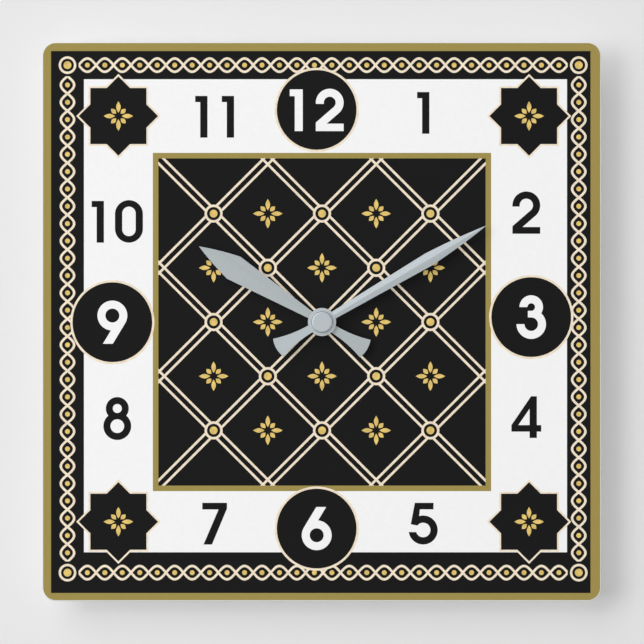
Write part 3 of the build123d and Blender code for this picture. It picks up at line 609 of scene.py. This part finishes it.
class Nodes:
    """A node tree that is built up step by step."""

    def __init__(self, tree):
        self.tree = tree

    def fill(self, node, *values, **named):
        """Fills inputs of a node in order or by name. A socket is linked, any other value is set."""
        sockets = [*node.inputs[: len(values)], *[node.inputs[label.replace("_", " ")] for label in named]]
        for socket, value in zip(sockets, (*values, *named.values())):
            if isinstance(value, bpy.types.NodeSocket):
                self.tree.links.new(value, socket)
            else:
                socket.default_value = value
        return node

    def add(self, kind, *values, **named):
        """Adds a node with its inputs filled."""
        return self.fill(self.tree.nodes.new(kind), *values, **named)

    def calculated(self, operation, first, second):
        """Result of one step of arithmetic."""
        node = self.add("ShaderNodeMath", first, second)
        node.operation = operation
        return node.outputs[0]

    def show_mix(self, share, first, second, output):
        """Shows a mix of two shaders, with more of the second as the share grows."""
        mix = self.add("ShaderNodeMixShader", share, first, second)
        self.fill(self.tree.nodes[output], Surface=mix.outputs["Shader"])


class Finish(Nodes):
    """A node material of the clock or its stage."""

    # Part of a pattern's range that a tint spreads over
    tint_range = (0.3, 0.7)

    # Width in metres of one band of a wave texture with a scale of 1
    wave_width = 2 * pi / 20

    def __init__(self, name, roughness=0.5, metallic=0.0, specular=0.5):
        self.material = bpy.data.materials.new(name)
        self.material.use_nodes = True
        super().__init__(self.material.node_tree)
        self.shader = self.tree.nodes["Principled BSDF"]
        self.fill(self.shader, Roughness=roughness, Metallic=metallic, Specular_IOR_Level=specular)
        self.place = self.add("ShaderNodeTexCoord").outputs["Object"]

    def noise(self, grains, detail=3.0):
        """Noise with so many grains to a metre."""
        return self.add("ShaderNodeTexNoise", Vector=self.place, Scale=grains, Detail=detail).outputs["Fac"]

    def bands(self, count, axis, kind="BANDS"):
        """Even bands or rings, so many to a metre."""
        node = self.add("ShaderNodeTexWave", Vector=self.place, Scale=count * self.wave_width)
        node.wave_type = kind
        setattr(node, kind.lower() + "_direction", axis)
        return node.outputs["Fac"]

    def tint(self, colour, spread, grains=None, pattern=None):
        """Colour that varies by a share of itself, with noise or another pattern."""
        ramp = self.add("ShaderNodeValToRGB", Fac=pattern or self.noise(grains))
        shares = (1 - spread, 1 + spread)
        for element, position, share in zip(ramp.color_ramp.elements, self.tint_range, shares):
            element.position = position
            element.color = (*[min(1.0, c * share) for c in colour], 1)
        self.fill(self.shader, Base_Color=ramp.outputs["Color"])

    def shine(self, low, high, grains):
        """Roughness between two values, by noise."""
        span = self.add("ShaderNodeMapRange", Value=self.noise(grains), To_Min=low, To_Max=high)
        self.fill(self.shader, Roughness=span.outputs["Result"])

    def bump(self, depth, strength, grains=None, pattern=None):
        """Relief of a depth in metres, by noise or another pattern."""
        height = pattern or self.noise(grains)
        node = self.add("ShaderNodeBump", Height=height, Distance=depth, Strength=strength)
        self.fill(self.shader, Normal=node.outputs["Normal"])


def ink_finish(ink):
    """Printed ink, made once: mottle of the press and the gloss of a cured film."""
    name = ink + "_ink"
    if name in bpy.data.materials:
        return bpy.data.materials[name]
    finish = Finish(name, specular=0.06)
    finish.tint(getattr(bpy.context.scene.clock_colours, name), spread=INK_MOTTLE[ink], grains=420)
    finish.shine(low=0.38, high=0.48, grains=150)
    finish.bump(depth=0.01 * MM, strength=0.25, grains=2600)
    return finish.material


def acrylic(colour):
    """White cast acrylic with a polished skin."""
    finish = Finish("cast_acrylic")
    finish.tint(colour, spread=0.012, grains=60)
    finish.shine(low=0.10, high=0.17, grains=220)
    finish.bump(depth=0.01 * MM, strength=0.1, grains=700)
    return finish.material


def hand_paint(name, colour):
    """Satin silver-grey paint with a fine flake."""
    finish = Finish(name, metallic=0.4)
    finish.tint(colour, spread=0.025, grains=3200)
    finish.shine(low=0.36, high=0.46, grains=700)
    finish.bump(depth=0.008 * MM, strength=0.3, grains=5200)
    return finish.material


def moulding(name, colour, grain, roughness, mottle=0.12):
    """Moulded plastic with a spark-eroded grain."""
    finish = Finish(name)
    finish.tint(colour, spread=mottle, grains=260)
    finish.shine(low=roughness - 0.08, high=roughness + 0.08, grains=900)
    finish.bump(depth=0.12 * MM, strength=0.6, pattern=finish.noise(grains=grain, detail=2.0))
    return finish.material


def metal(name, colour, roughness, marks, axis="Y", kind="RINGS"):
    """Worked metal with the fine marks of its tool."""
    finish = Finish(name, metallic=1.0)
    finish.tint(colour, spread=0.06, grains=500)
    finish.shine(low=roughness - 0.07, high=roughness + 0.10, grains=1400)
    finish.bump(depth=0.01 * MM, strength=0.25, pattern=finish.bands(marks, axis, kind))
    return finish.material


def wound_wire(colour):
    """Copper coil, one band for each turn: real relief, with painted shade between the turns and a painted
    highlight along each turn.
    """
    finish = Finish("copper_turns", roughness=0.3, metallic=0.9)
    turns = finish.bands(count=9000, axis="X")
    # Painted shade and highlight: the colour darkens in the grooves between turns and lightens on their
    # crowns.
    finish.tint(colour, spread=0.25, pattern=turns)
    finish.bump(depth=0.04 * MM, strength=0.8, pattern=turns)
    return finish.material


def laminate(colour):
    """Tan circuit laminate with a paper fleck."""
    finish = Finish("tan_laminate", roughness=0.5)
    finish.tint(colour, spread=0.12, grains=1600)
    finish.bump(depth=0.02 * MM, strength=0.3, grains=4000)
    return finish.material


def shrink_film(name, colour):
    """Glossy shrink film with the faint ripple that shrinking leaves."""
    finish = Finish(name)
    finish.tint(colour, spread=0.06, grains=120)
    finish.shine(low=0.22, high=0.32, grains=300)
    finish.bump(depth=0.03 * MM, strength=0.25, grains=160)
    return finish.material


def slot_finishes(colours):
    """A finish for each material slot of the record."""
    return {
        "white_acrylic": acrylic(colours.acrylic),
        "case_plastic": moulding("black_moulding", colours.case, grain=2400, roughness=0.46),
        "gasket_rubber": moulding("black_rubber", base_of["gasket_rubber"], grain=1500, roughness=0.7),
        "brass": metal("turned_brass", colours.brass, roughness=0.3, marks=4000),
        "hand_paint": hand_paint("silver_grey_paint", colours.minute_paint),
        "gear_plastic": moulding(
            "natural_moulding", base_of["gear_plastic"], grain=3000, roughness=0.42, mottle=0.03
        ),
        "spring_steel": metal(
            "strip_steel", base_of["spring_steel"], roughness=0.28, marks=5000, axis="Z", kind="BANDS"
        ),
        "magnet": moulding("sintered_magnet", base_of["magnet"], grain=5000, roughness=0.5),
        "copper_wire": wound_wire(colours.copper),
        "circuit_laminate": laminate(base_of["circuit_laminate"]),
        "chip_epoxy": moulding("epoxy_drop", base_of["chip_epoxy"], grain=600, roughness=0.3),
        "cell_wrap": shrink_film("cell_sleeve", colours.cell_sleeve),
    }


# Operators


class CLOCK_OT_dress_frame(bpy.types.Operator):
    """Gives every carried-over piece the finish of its material slot and soft edges. The hour hand gets a
    darker copy of its paint as painted shade
    """

    bl_idname = "clock.dress_frame"
    bl_label = "Dress the Frame"

    soft_edges = {
        "front_case": 0.25 * MM,
        "rear_cover": 0.15 * MM,
        "hanger": 0.3 * MM,
        "setting_knob": 0.2 * MM,
        "hour_hand": 0.05 * MM,
        "minute_hand": 0.05 * MM,
        "dial_washer": 0.08 * MM,
        "hex_nut": 0.15 * MM,
    }

    def execute(self, context):
        colours = context.scene.clock_colours
        finishes = slot_finishes(colours)
        # Painted shade: a darker copy of the silver-grey paint for the hour hand.
        hour_paint = hand_paint("shaded_silver_paint", colours.hour_paint)
        for node, thing in frame["nodes"].items():
            thing.data.materials.clear()
            thing.data.materials.append(hour_paint if node == "hour_hand" else finishes[slot_of[node]])
        for node, width in self.soft_edges.items():
            soften(node, width)
        return {"FINISHED"}


class CLOCK_OT_print_ground(bpy.types.Operator):
    """Prints the gold border, the black ground, the white number band and its gold line"""

    bl_idname = "clock.print_ground"
    bl_label = "Print the Ground"

    def execute(self, context):
        sizes = context.scene.clock_print
        inner = sizes.band_inner
        hole = circle(AXIS, washer_radius + sizes.hub)
        rim = rounded_square(panel_half - sizes.edge, panel_corner() - sizes.edge)
        # Painted highlight: the border is shifted up and left, so a wider strip of white acrylic shows
        # along the right and bottom edges as a bright rim line.
        border = moved(rim, -sizes.register, sizes.register)
        ink_layer("print_gold_ground", [[border, hole]], "border", "gold", sizes.bleed)
        ink_layer("print_black_ground", [[corners(*field_edges()), hole]], "field", "black")
        ink_layer("print_white_band", [[corners(*sizes.band), square(inner)]], "band", "white")
        ink_layer("print_gold_line", [[square(inner), square(inner - sizes.line)]], "band", "gold")
        return {"FINISHED"}


class CLOCK_OT_print_trellis(bpy.types.Operator):
    """Prints the diagonal trellis of the centre with its knots and flowers"""

    bl_idname = "clock.print_trellis"
    bl_label = "Print the Trellis"

    def execute(self, context):
        sizes = context.scene.clock_print
        field = sizes.band_inner - sizes.line
        half = sizes.trellis / 2
        count = int((field - sizes.knot) / half)
        steps = range(-count, count + 1)
        for name, flip, coat in (("rising", 1, "band"), ("falling", -1, "crossing")):
            lines = [[line] for n in steps for line in self.pair(n * sizes.trellis, flip, field)]
            ink_layer(f"print_trellis_{name}", lines, coat, "cream")
        cells = [(i, j) for i in steps for j in steps if (i, j) != (0, 0)]
        knots, centres = [
            [(i * half, j * half) for i, j in cells if (i + j) % 2 == odd] for odd in (0, 1)
        ]
        ink_layer("print_knot_grounds", discs(knots, sizes.knot), "knot", "black")
        ink_layer("print_knot_rings", hoops(knots, sizes.knot, sizes.wire), "plaque", "cream")
        ink_layer("print_knot_dots", discs(knots, sizes.dot), "plaque", "light_gold")
        ink_layer("print_trellis_flowers", flowers(centres), "crossing", "light_gold")
        return {"FINISHED"}

    def pair(self, offset, flip, field):
        """Two parallel strips at 45 degrees, cut to the field."""
        sizes = bpy.context.scene.clock_print
        half = sizes.wire / 2 * sqrt(2)
        far = 2 * field
        strips = []
        for side in (-1, 1):
            middle = offset + side * sizes.wire_gap / 2 * sqrt(2)
            strip = [(flip * (middle + a * half - b * far), b * far) for a, b in square(1)]
            strips.append(clipped(strip, field))
        return strips


class CLOCK_OT_print_border(bpy.types.Operator):
    """Prints the twisted border between the gold strip and the number band"""

    bl_idname = "clock.print_border"
    bl_label = "Print the Border"

    steps_per_wave = 14

    def execute(self, context):
        sizes = context.scene.clock_print
        spots = corners(*midway(field_edges()))
        sides = list(zip(spots, spots[1:] + spots[:1]))
        for name, sign, coat in (("over", 1, "crossing"), ("under", -1, "band")):
            strands = [[self.strand(*side, sign)] for side in sides]
            ink_layer(f"print_twist_{name}", strands, coat, "cream")
        count = 2 * sizes.waves
        eyes = [self.along(*side, (k + 0.5) / count, 0) for side in sides for k in range(count)]
        beads = discs(eyes, sizes.bead) + discs(spots, sizes.corner_bead)
        ink_layer("print_twist_beads", beads, "band", "light_gold")
        ink_layer("print_border_rings", hoops(spots, sizes.ring, sizes.wire), "band", "cream")
        return {"FINISHED"}

    def along(self, start, end, share, across):
        """Point at a share of the way between two corner rings, some way to the side of it."""
        sizes = bpy.context.scene.clock_print
        run = dist(start, end)
        way = ((end[0] - start[0]) / run, (end[1] - start[1]) / run)
        room = sizes.ring + sizes.wire
        far = room + share * (run - 2 * room)
        return start[0] + far * way[0] - across * way[1], start[1] + far * way[1] + across * way[0]

    def strand(self, start, end, sign):
        """Outline of one wavy strand between two corners."""
        sizes = bpy.context.scene.clock_print
        count = sizes.waves * self.steps_per_wave
        reach = (dist(start, end) / 2 - sizes.ring - sizes.wire) / pi / sizes.waves
        upper, lower = [], []
        for i in range(count + 1):
            turn = 2 * pi * sizes.waves * i / count
            slope = sign * sizes.wave_height * cos(turn) / reach
            middle = sign * sizes.wave_height * sin(turn)
            half = sizes.wire / 2 * sqrt(1 + slope**2)
            upper.append(self.along(start, end, i / count, middle + half))
            lower.append(self.along(start, end, i / count, middle - half))
        return upper + lower[::-1]


class CLOCK_OT_print_plaques(bpy.types.Operator):
    """Prints the round quarter plaques and the star plaques in the corners of the band"""

    bl_idname = "clock.print_plaques"
    bl_label = "Print the Plaques"

    def execute(self, context):
        sizes = context.scene.clock_print
        quarters = [hour_spot(hour) for hour in (3, 6, 9, 12)]
        stars = corners(*midway([sizes.band_inner] * 4))
        plaques = discs(quarters, sizes.plaque) + [[star(c, sizes.plaque)] for c in stars]
        ink_layer("print_plaques", plaques, "plaque", "black")
        rims = hoops(quarters, sizes.plaque, sizes.rim)
        rims += [[star(c, sizes.plaque), star(c, sizes.plaque - sizes.star_rim)] for c in stars]
        ink_layer("print_plaque_rims", rims, "rim", "cream")
        ink_layer("print_corner_flowers", flowers(stars), "rim", "light_gold")
        return {"FINISHED"}


class CLOCK_OT_print_numerals(bpy.types.Operator):
    """Prints the twelve hour numerals round the band"""

    bl_idname = "clock.print_numerals"
    bl_label = "Print the Numerals"

    def execute(self, context):
        sizes = context.scene.clock_numerals
        dark = (sizes.dark_stroke, sizes.dark_gap, "knot", "black")
        light = (sizes.light_stroke, sizes.light_gap, "figure", "white")
        for hour in range(1, 13):
            stroke, gap, coat, ink = dark if hour % 3 else light
            shapes = numeral(hour, hour_spot(hour), sizes.height, stroke, gap, sizes.kern)
            ink_layer(f"print_numeral_{hour}", shapes, coat, ink)
        return {"FINISHED"}


class CLOCK_OT_cut_thread(bpy.types.Operator):
    """Makes the brass bushing that holds the dial, with its thread cut in the metal"""

    bl_idname = "clock.cut_thread"
    bl_label = "Cut the Thread"

    pitch = 0.75 * MM
    depth = 0.40 * MM
    steps_per_pitch = 10

    # Decimal places of a metre to which the plain bushing is read
    digits = 5

    def execute(self, context):
        plain = frame["nodes"]["threaded_bushing"].data
        radii = sorted({round(hypot(v.co.x, v.co.z), self.digits) for v in plain.vertices})
        depths = sorted({round(v.co.y, self.digits) for v in plain.vertices})
        if len(radii) != 4 or len(depths) != 4:
            raise RuntimeError("threaded_bushing: not a chamfered tube with a flange")
        bore, tip, crest, flange = radii
        front, _, seat, back = depths
        count = round((seat - front) / self.pitch * self.steps_per_pitch)
        rings = [self.cut_ring(front, seat, tip, crest, i / count) for i in range(count + 1)]
        for radius, y in ((flange, seat), (flange, back), (bore, back), (bore, front)):
            rings.append([(x, y, z) for x, z in ring_points(AXIS, radius)])
        bushing = skinned("bushing", rings, plain.materials[0], CLOCK, sharp=40)
        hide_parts("threaded_bushing")
        return {"FINISHED"}

    def cut_ring(self, front, seat, tip, crest, share):
        """Ring across the thread, cut back by the chamfer in front and the run-out behind."""
        y = front + share * (seat - front)
        most = min(crest, tip + y - front)
        fade = min(1.0, (seat - y) / self.pitch)
        points = []
        for i in range(RING_POINTS):
            turn = y / self.pitch + i / RING_POINTS
            height = fade * (1 + cos(2 * pi * turn)) / 2
            radius = min(most, crest - self.depth * (1 - height))
            x, z = polar(AXIS, radius, 360 * i / RING_POINTS)
            points.append((x, y, z))
        return points


class CLOCK_OT_dress_cell(bpy.types.Operator):
    """Makes the AA cell: a sleeved can with a rolled shoulder, a nub and a bare rear plate"""

    bl_idname = "clock.dress_cell"
    bl_label = "Dress the Cell"

    nub_radius = 2.75 * MM
    nub_length = 1.3 * MM
    plate_radius = 5.6 * MM
    plate_dip = 0.35 * MM
    soft = 0.25 * MM
    sleeve = 0.12 * MM
    fold = 0.5 * MM

    # The silver band, measured back from the shoulder
    band_start = 9.0 * MM
    band_end = 6.5 * MM
    band_proud = 0.02 * MM

    def execute(self, context):
        colours = context.scene.clock_colours
        centre = ((cell_low.y + cell_high.y) / 2, (cell_low.z + cell_high.z) / 2)
        radius = (cell_high.z - cell_low.z) / 2
        rear, tip = cell_low.x, cell_high.x
        shoulder = tip - self.nub_length
        can, nub, soft = radius - self.sleeve, self.nub_radius, self.soft
        plate, dip = self.plate_radius, rear + self.plate_dip
        profile = [
            (dip, 0), (dip, plate), (rear, plate + soft), (rear, can - 3 * soft),
            (rear + soft, can - soft), (rear + 2 * soft, can),
            (shoulder - 2 * soft, can), (shoulder - soft, can - soft), (shoulder, can - 3 * soft),
            (shoulder, nub + 2 * soft), (shoulder + soft, nub),
            (tip - soft, nub), (tip, nub - soft), (tip, 0),
        ]
        steel = metal("cell_steel", colours.cell_steel, roughness=0.25, marks=6000, axis="X")
        body = skinned("cell_can", self.rings(profile, centre), steel, CELL, sharp=35)
        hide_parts("battery")
        wrap = frame["nodes"]["battery"].data.materials[0]
        self.shell("cell_sleeve", rear + soft, shoulder + soft / 2, radius, wrap, centre)
        film = shrink_film("cell_band", colours.cell_band)
        start, end = shoulder - self.band_start, shoulder - self.band_end
        self.shell("cell_band", start, end, radius + self.band_proud, film, centre)
        return {"FINISHED"}

    def rings(self, profile, centre):
        """Rings round the cell's axis for (x, radius) points. A point on the axis stays a single one."""
        return [
            [(x, *spot) for spot in (ring_points(centre, radius) if radius else [centre])]
            for x, radius in profile
        ]

    def shell(self, name, start, end, radius, material, centre):
        """Thin sleeve with its ends folded in, closed by its own inner wall."""
        inner = radius - self.sleeve / 2
        fold = min(self.fold, (end - start) / 4)
        bend = 0.3 * fold
        profile = [
            (start, inner - fold), (start, inner), (start + bend, radius - bend), (start + fold, radius),
            (end - fold, radius), (end - bend, radius - bend), (end, inner), (end, inner - fold),
        ]
        sleeve = skinned(name, self.rings(profile, centre), material, CELL, sharp=50)
        return sleeve


class CLOCK_OT_print_signs(bpy.types.Operator):
    """Prints the polarity signs and the arrow for setting the hands on the back of the movement"""

    bl_idname = "clock.print_signs"
    bl_label = "Print the Signs"

    bar = 0.9 * MM
    arm = 2.2 * MM
    rise = 3.2 * MM
    inset = 6.0 * MM

    # The arrow round the knob, with the angles of its start, its head and its tip
    arrow_gap = 3.0 * MM
    arrow_head = 1.35 * MM
    arrow_angles = (120, 205, 227)

    def execute(self, context):
        step = context.scene.clock_print.ink
        half = self.bar / 2
        knob = ((knob_low.x + knob_high.x) / 2, (knob_low.z + knob_high.z) / 2)
        arrow = self.arrow(knob, (knob_high.x - knob_low.x) / 2 + self.arrow_gap)
        row = cover_low.z + self.rise
        side = cover_high.x - self.inset
        plus = moved(self.cross(), side, row)
        minus = moved(corners(self.arm, half, self.arm, half), -side, row)
        signs = [[arrow], [plus], [minus]]
        slab("print_signs", signs, cover_high.y - step, cover_high.y + 2 * step, ink_finish("white"))
        return {"FINISHED"}

    def arrow(self, centre, radius):
        """Curved arrow round the knob."""
        start, end, tip = self.arrow_angles
        half = self.bar / 2
        return joined(
            arc(centre, radius + half, start, end),
            polar(centre, radius + self.arrow_head, end),
            polar(centre, radius, tip),
            polar(centre, radius - self.arrow_head, end),
            arc(centre, radius - half, end, start),
        )

    def cross(self):
        """Plus sign about the hand axis, one arm after another."""
        half = self.bar / 2
        arm = [(self.arm, -half), (self.arm, half), (half, half)]
        points = []
        for _ in range(4):
            points += arm
            arm = turned(arm)
        return points


class CLOCK_OT_set_stage(bpy.types.Operator):
    """Sets up the pale wall, the soft lamps and the camera in front of the dial"""

    bl_idname = "clock.set_stage"
    bl_label = "Set the Stage"

    wall_gap = 0.6 * MM
    wall_half = 2.0
    wall_fade = (0.23, 0.6)

    # Light passes through the wall until it has met more surfaces than this
    wall_depth = 1.5

    # Place and width of each square lamp
    key = ((-1.6, -3.0, 2.1), 2.7)
    side = ((-2.2, -3.0, 0.24), 1.8)
    front = ((0.0, -2.6, 0.0), 0.2)
    rear = ((0.9, 1.1, 0.8), 0.9)

    def execute(self, context):
        stage = context.scene.clock_stage
        self.wall(context)
        self.lamp("key", *self.key, stage.key_power)
        self.lamp("side", *self.side, stage.side_power)
        self.lamp("front", *self.front, stage.front_power).visible_glossy = False
        (x, y, z), size = self.rear
        self.lamp("rear_left", (-x, y, z), size, stage.rear_power)
        self.lamp("rear_right", (x, y, z), size, stage.rear_power)
        self.sky(context)
        self.camera(context)
        context.scene.view_settings.view_transform = "Standard"
        return {"FINISHED"}

    def wall(self, context):
        """Wall with a front only, that fades out round the clock. From behind it is clear."""
        mesh = bpy.data.meshes.new("wall")
        mesh.from_pydata([(x, self.wall_gap, z) for x, z in square(self.wall_half)], [], [(0, 1, 2, 3)])
        wall = placed("wall", mesh)
        finish = Finish("wall_paint", roughness=0.85, specular=0.1)
        finish.tint(context.scene.clock_colours.wall, spread=0.006, grains=3)
        mesh.materials.append(finish.material)
        path = finish.add("ShaderNodeLightPath").outputs
        early = finish.calculated("LESS_THAN", path["Ray Depth"], self.wall_depth)
        lighting = finish.calculated("MAXIMUM", path["Is Shadow Ray"], path["Is Diffuse Ray"])
        passing = finish.calculated("MULTIPLY", early, lighting)
        behind = finish.add("ShaderNodeNewGeometry").outputs["Backfacing"]
        reach = finish.add("ShaderNodeVectorMath", finish.place)
        reach.operation = "LENGTH"
        near, far = self.wall_fade
        fade = finish.add("ShaderNodeMapRange", Value=reach.outputs["Value"], From_Min=near, From_Max=far)
        fade.interpolation_type = "SMOOTHSTEP"
        clear = finish.calculated("MAXIMUM", behind, passing)
        clear = finish.calculated("MAXIMUM", clear, fade.outputs["Result"])
        nothing = finish.add("ShaderNodeBsdfTransparent").outputs["BSDF"]
        finish.show_mix(clear, finish.shader.outputs["BSDF"], nothing, "Material Output")

    def lamp(self, name, place, size, power):
        """Square soft lamp that looks at the dial."""
        data = bpy.data.lights.new(name, "AREA")
        data.size = size
        data.energy = power
        lamp = placed(name, data)
        lamp.location = place
        lamp.rotation_mode = "QUATERNION"
        lamp.rotation_quaternion = (-Vector(place)).to_track_quat("-Z", "Y")
        return lamp

    def sky(self, context):
        """Even light from all sides, and a pale backdrop for what the camera sees past the wall."""
        stage = context.scene.clock_stage
        world = bpy.data.worlds.new("studio")
        world.use_nodes = True
        context.scene.world = world
        nodes = Nodes(world.node_tree)
        light = nodes.fill(nodes.tree.nodes["Background"], Color=(1, 1, 1, 1), Strength=stage.sky)
        shown = nodes.add("ShaderNodeBackground", Color=(*stage.backdrop, 1))
        path = nodes.add("ShaderNodeLightPath").outputs
        seen = path["Is Camera Ray"]
        for label in ("Is Glossy Ray", "Is Transmission Ray"):
            seen = nodes.calculated("MAXIMUM", seen, path[label])
        nodes.show_mix(seen, light.outputs["Background"], shown.outputs["Background"], "World Output")

    def camera(self, context):
        """Camera square to the dial, far enough off to keep it flat."""
        stage = context.scene.clock_stage
        data = bpy.data.cameras.new("camera")
        data.lens = data.sensor_width * stage.distance / stage.view_width
        camera = placed("camera", data)
        camera.location = (0, panel_front - stage.distance, 0)
        camera.rotation_euler = (radians(90), 0, 0)
        context.scene.camera = camera


OPERATORS = (
    CLOCK_OT_dress_frame,
    CLOCK_OT_print_ground,
    CLOCK_OT_print_trellis,
    CLOCK_OT_print_border,
    CLOCK_OT_print_plaques,
    CLOCK_OT_print_numerals,
    CLOCK_OT_cut_thread,
    CLOCK_OT_dress_cell,
    CLOCK_OT_print_signs,
    CLOCK_OT_set_stage,
)
SETTINGS = {
    "clock_print": ClockPrintSizes,
    "clock_numerals": ClockNumeralSizes,
    "clock_colours": ClockFinishColours,
    "clock_stage": ClockStageSettings,
}


class CLOCK_PT_sidebar(bpy.types.Panel):
    """Steps and settings of the clock"""

    bl_label = "Wall Clock"
    bl_idname = "CLOCK_PT_sidebar"
    bl_space_type = "VIEW_3D"
    bl_region_type = "UI"
    bl_category = "Clock"

    def draw(self, context):
        for operator in OPERATORS:
            self.layout.operator(operator.bl_idname)
        for name, group in SETTINGS.items():
            box = self.layout.box()
            for label in group.__annotations__:
                box.prop(getattr(context.scene, name), label)


def register():
    for group in SETTINGS.values():
        bpy.utils.register_class(group)
    for name, group in SETTINGS.items():
        setattr(bpy.types.Scene, name, PointerProperty(type=group))
    for part in (*OPERATORS, CLOCK_PT_sidebar):
        bpy.utils.register_class(part)


def unregister():
    for part in (CLOCK_PT_sidebar, *reversed(OPERATORS)):
        bpy.utils.unregister_class(part)
    for name, group in reversed(SETTINGS.items()):
        delattr(bpy.types.Scene, name)
        bpy.utils.unregister_class(group)


def main():
    register()
    bpy.ops.clock.dress_frame()
    bpy.ops.clock.print_ground()
    bpy.ops.clock.print_trellis()
    bpy.ops.clock.print_border()
    bpy.ops.clock.print_plaques()
    bpy.ops.clock.print_numerals()
    bpy.ops.clock.cut_thread()
    bpy.ops.clock.dress_cell()
    bpy.ops.clock.print_signs()
    bpy.ops.clock.set_stage()


if __name__ == "__main__":
    main()
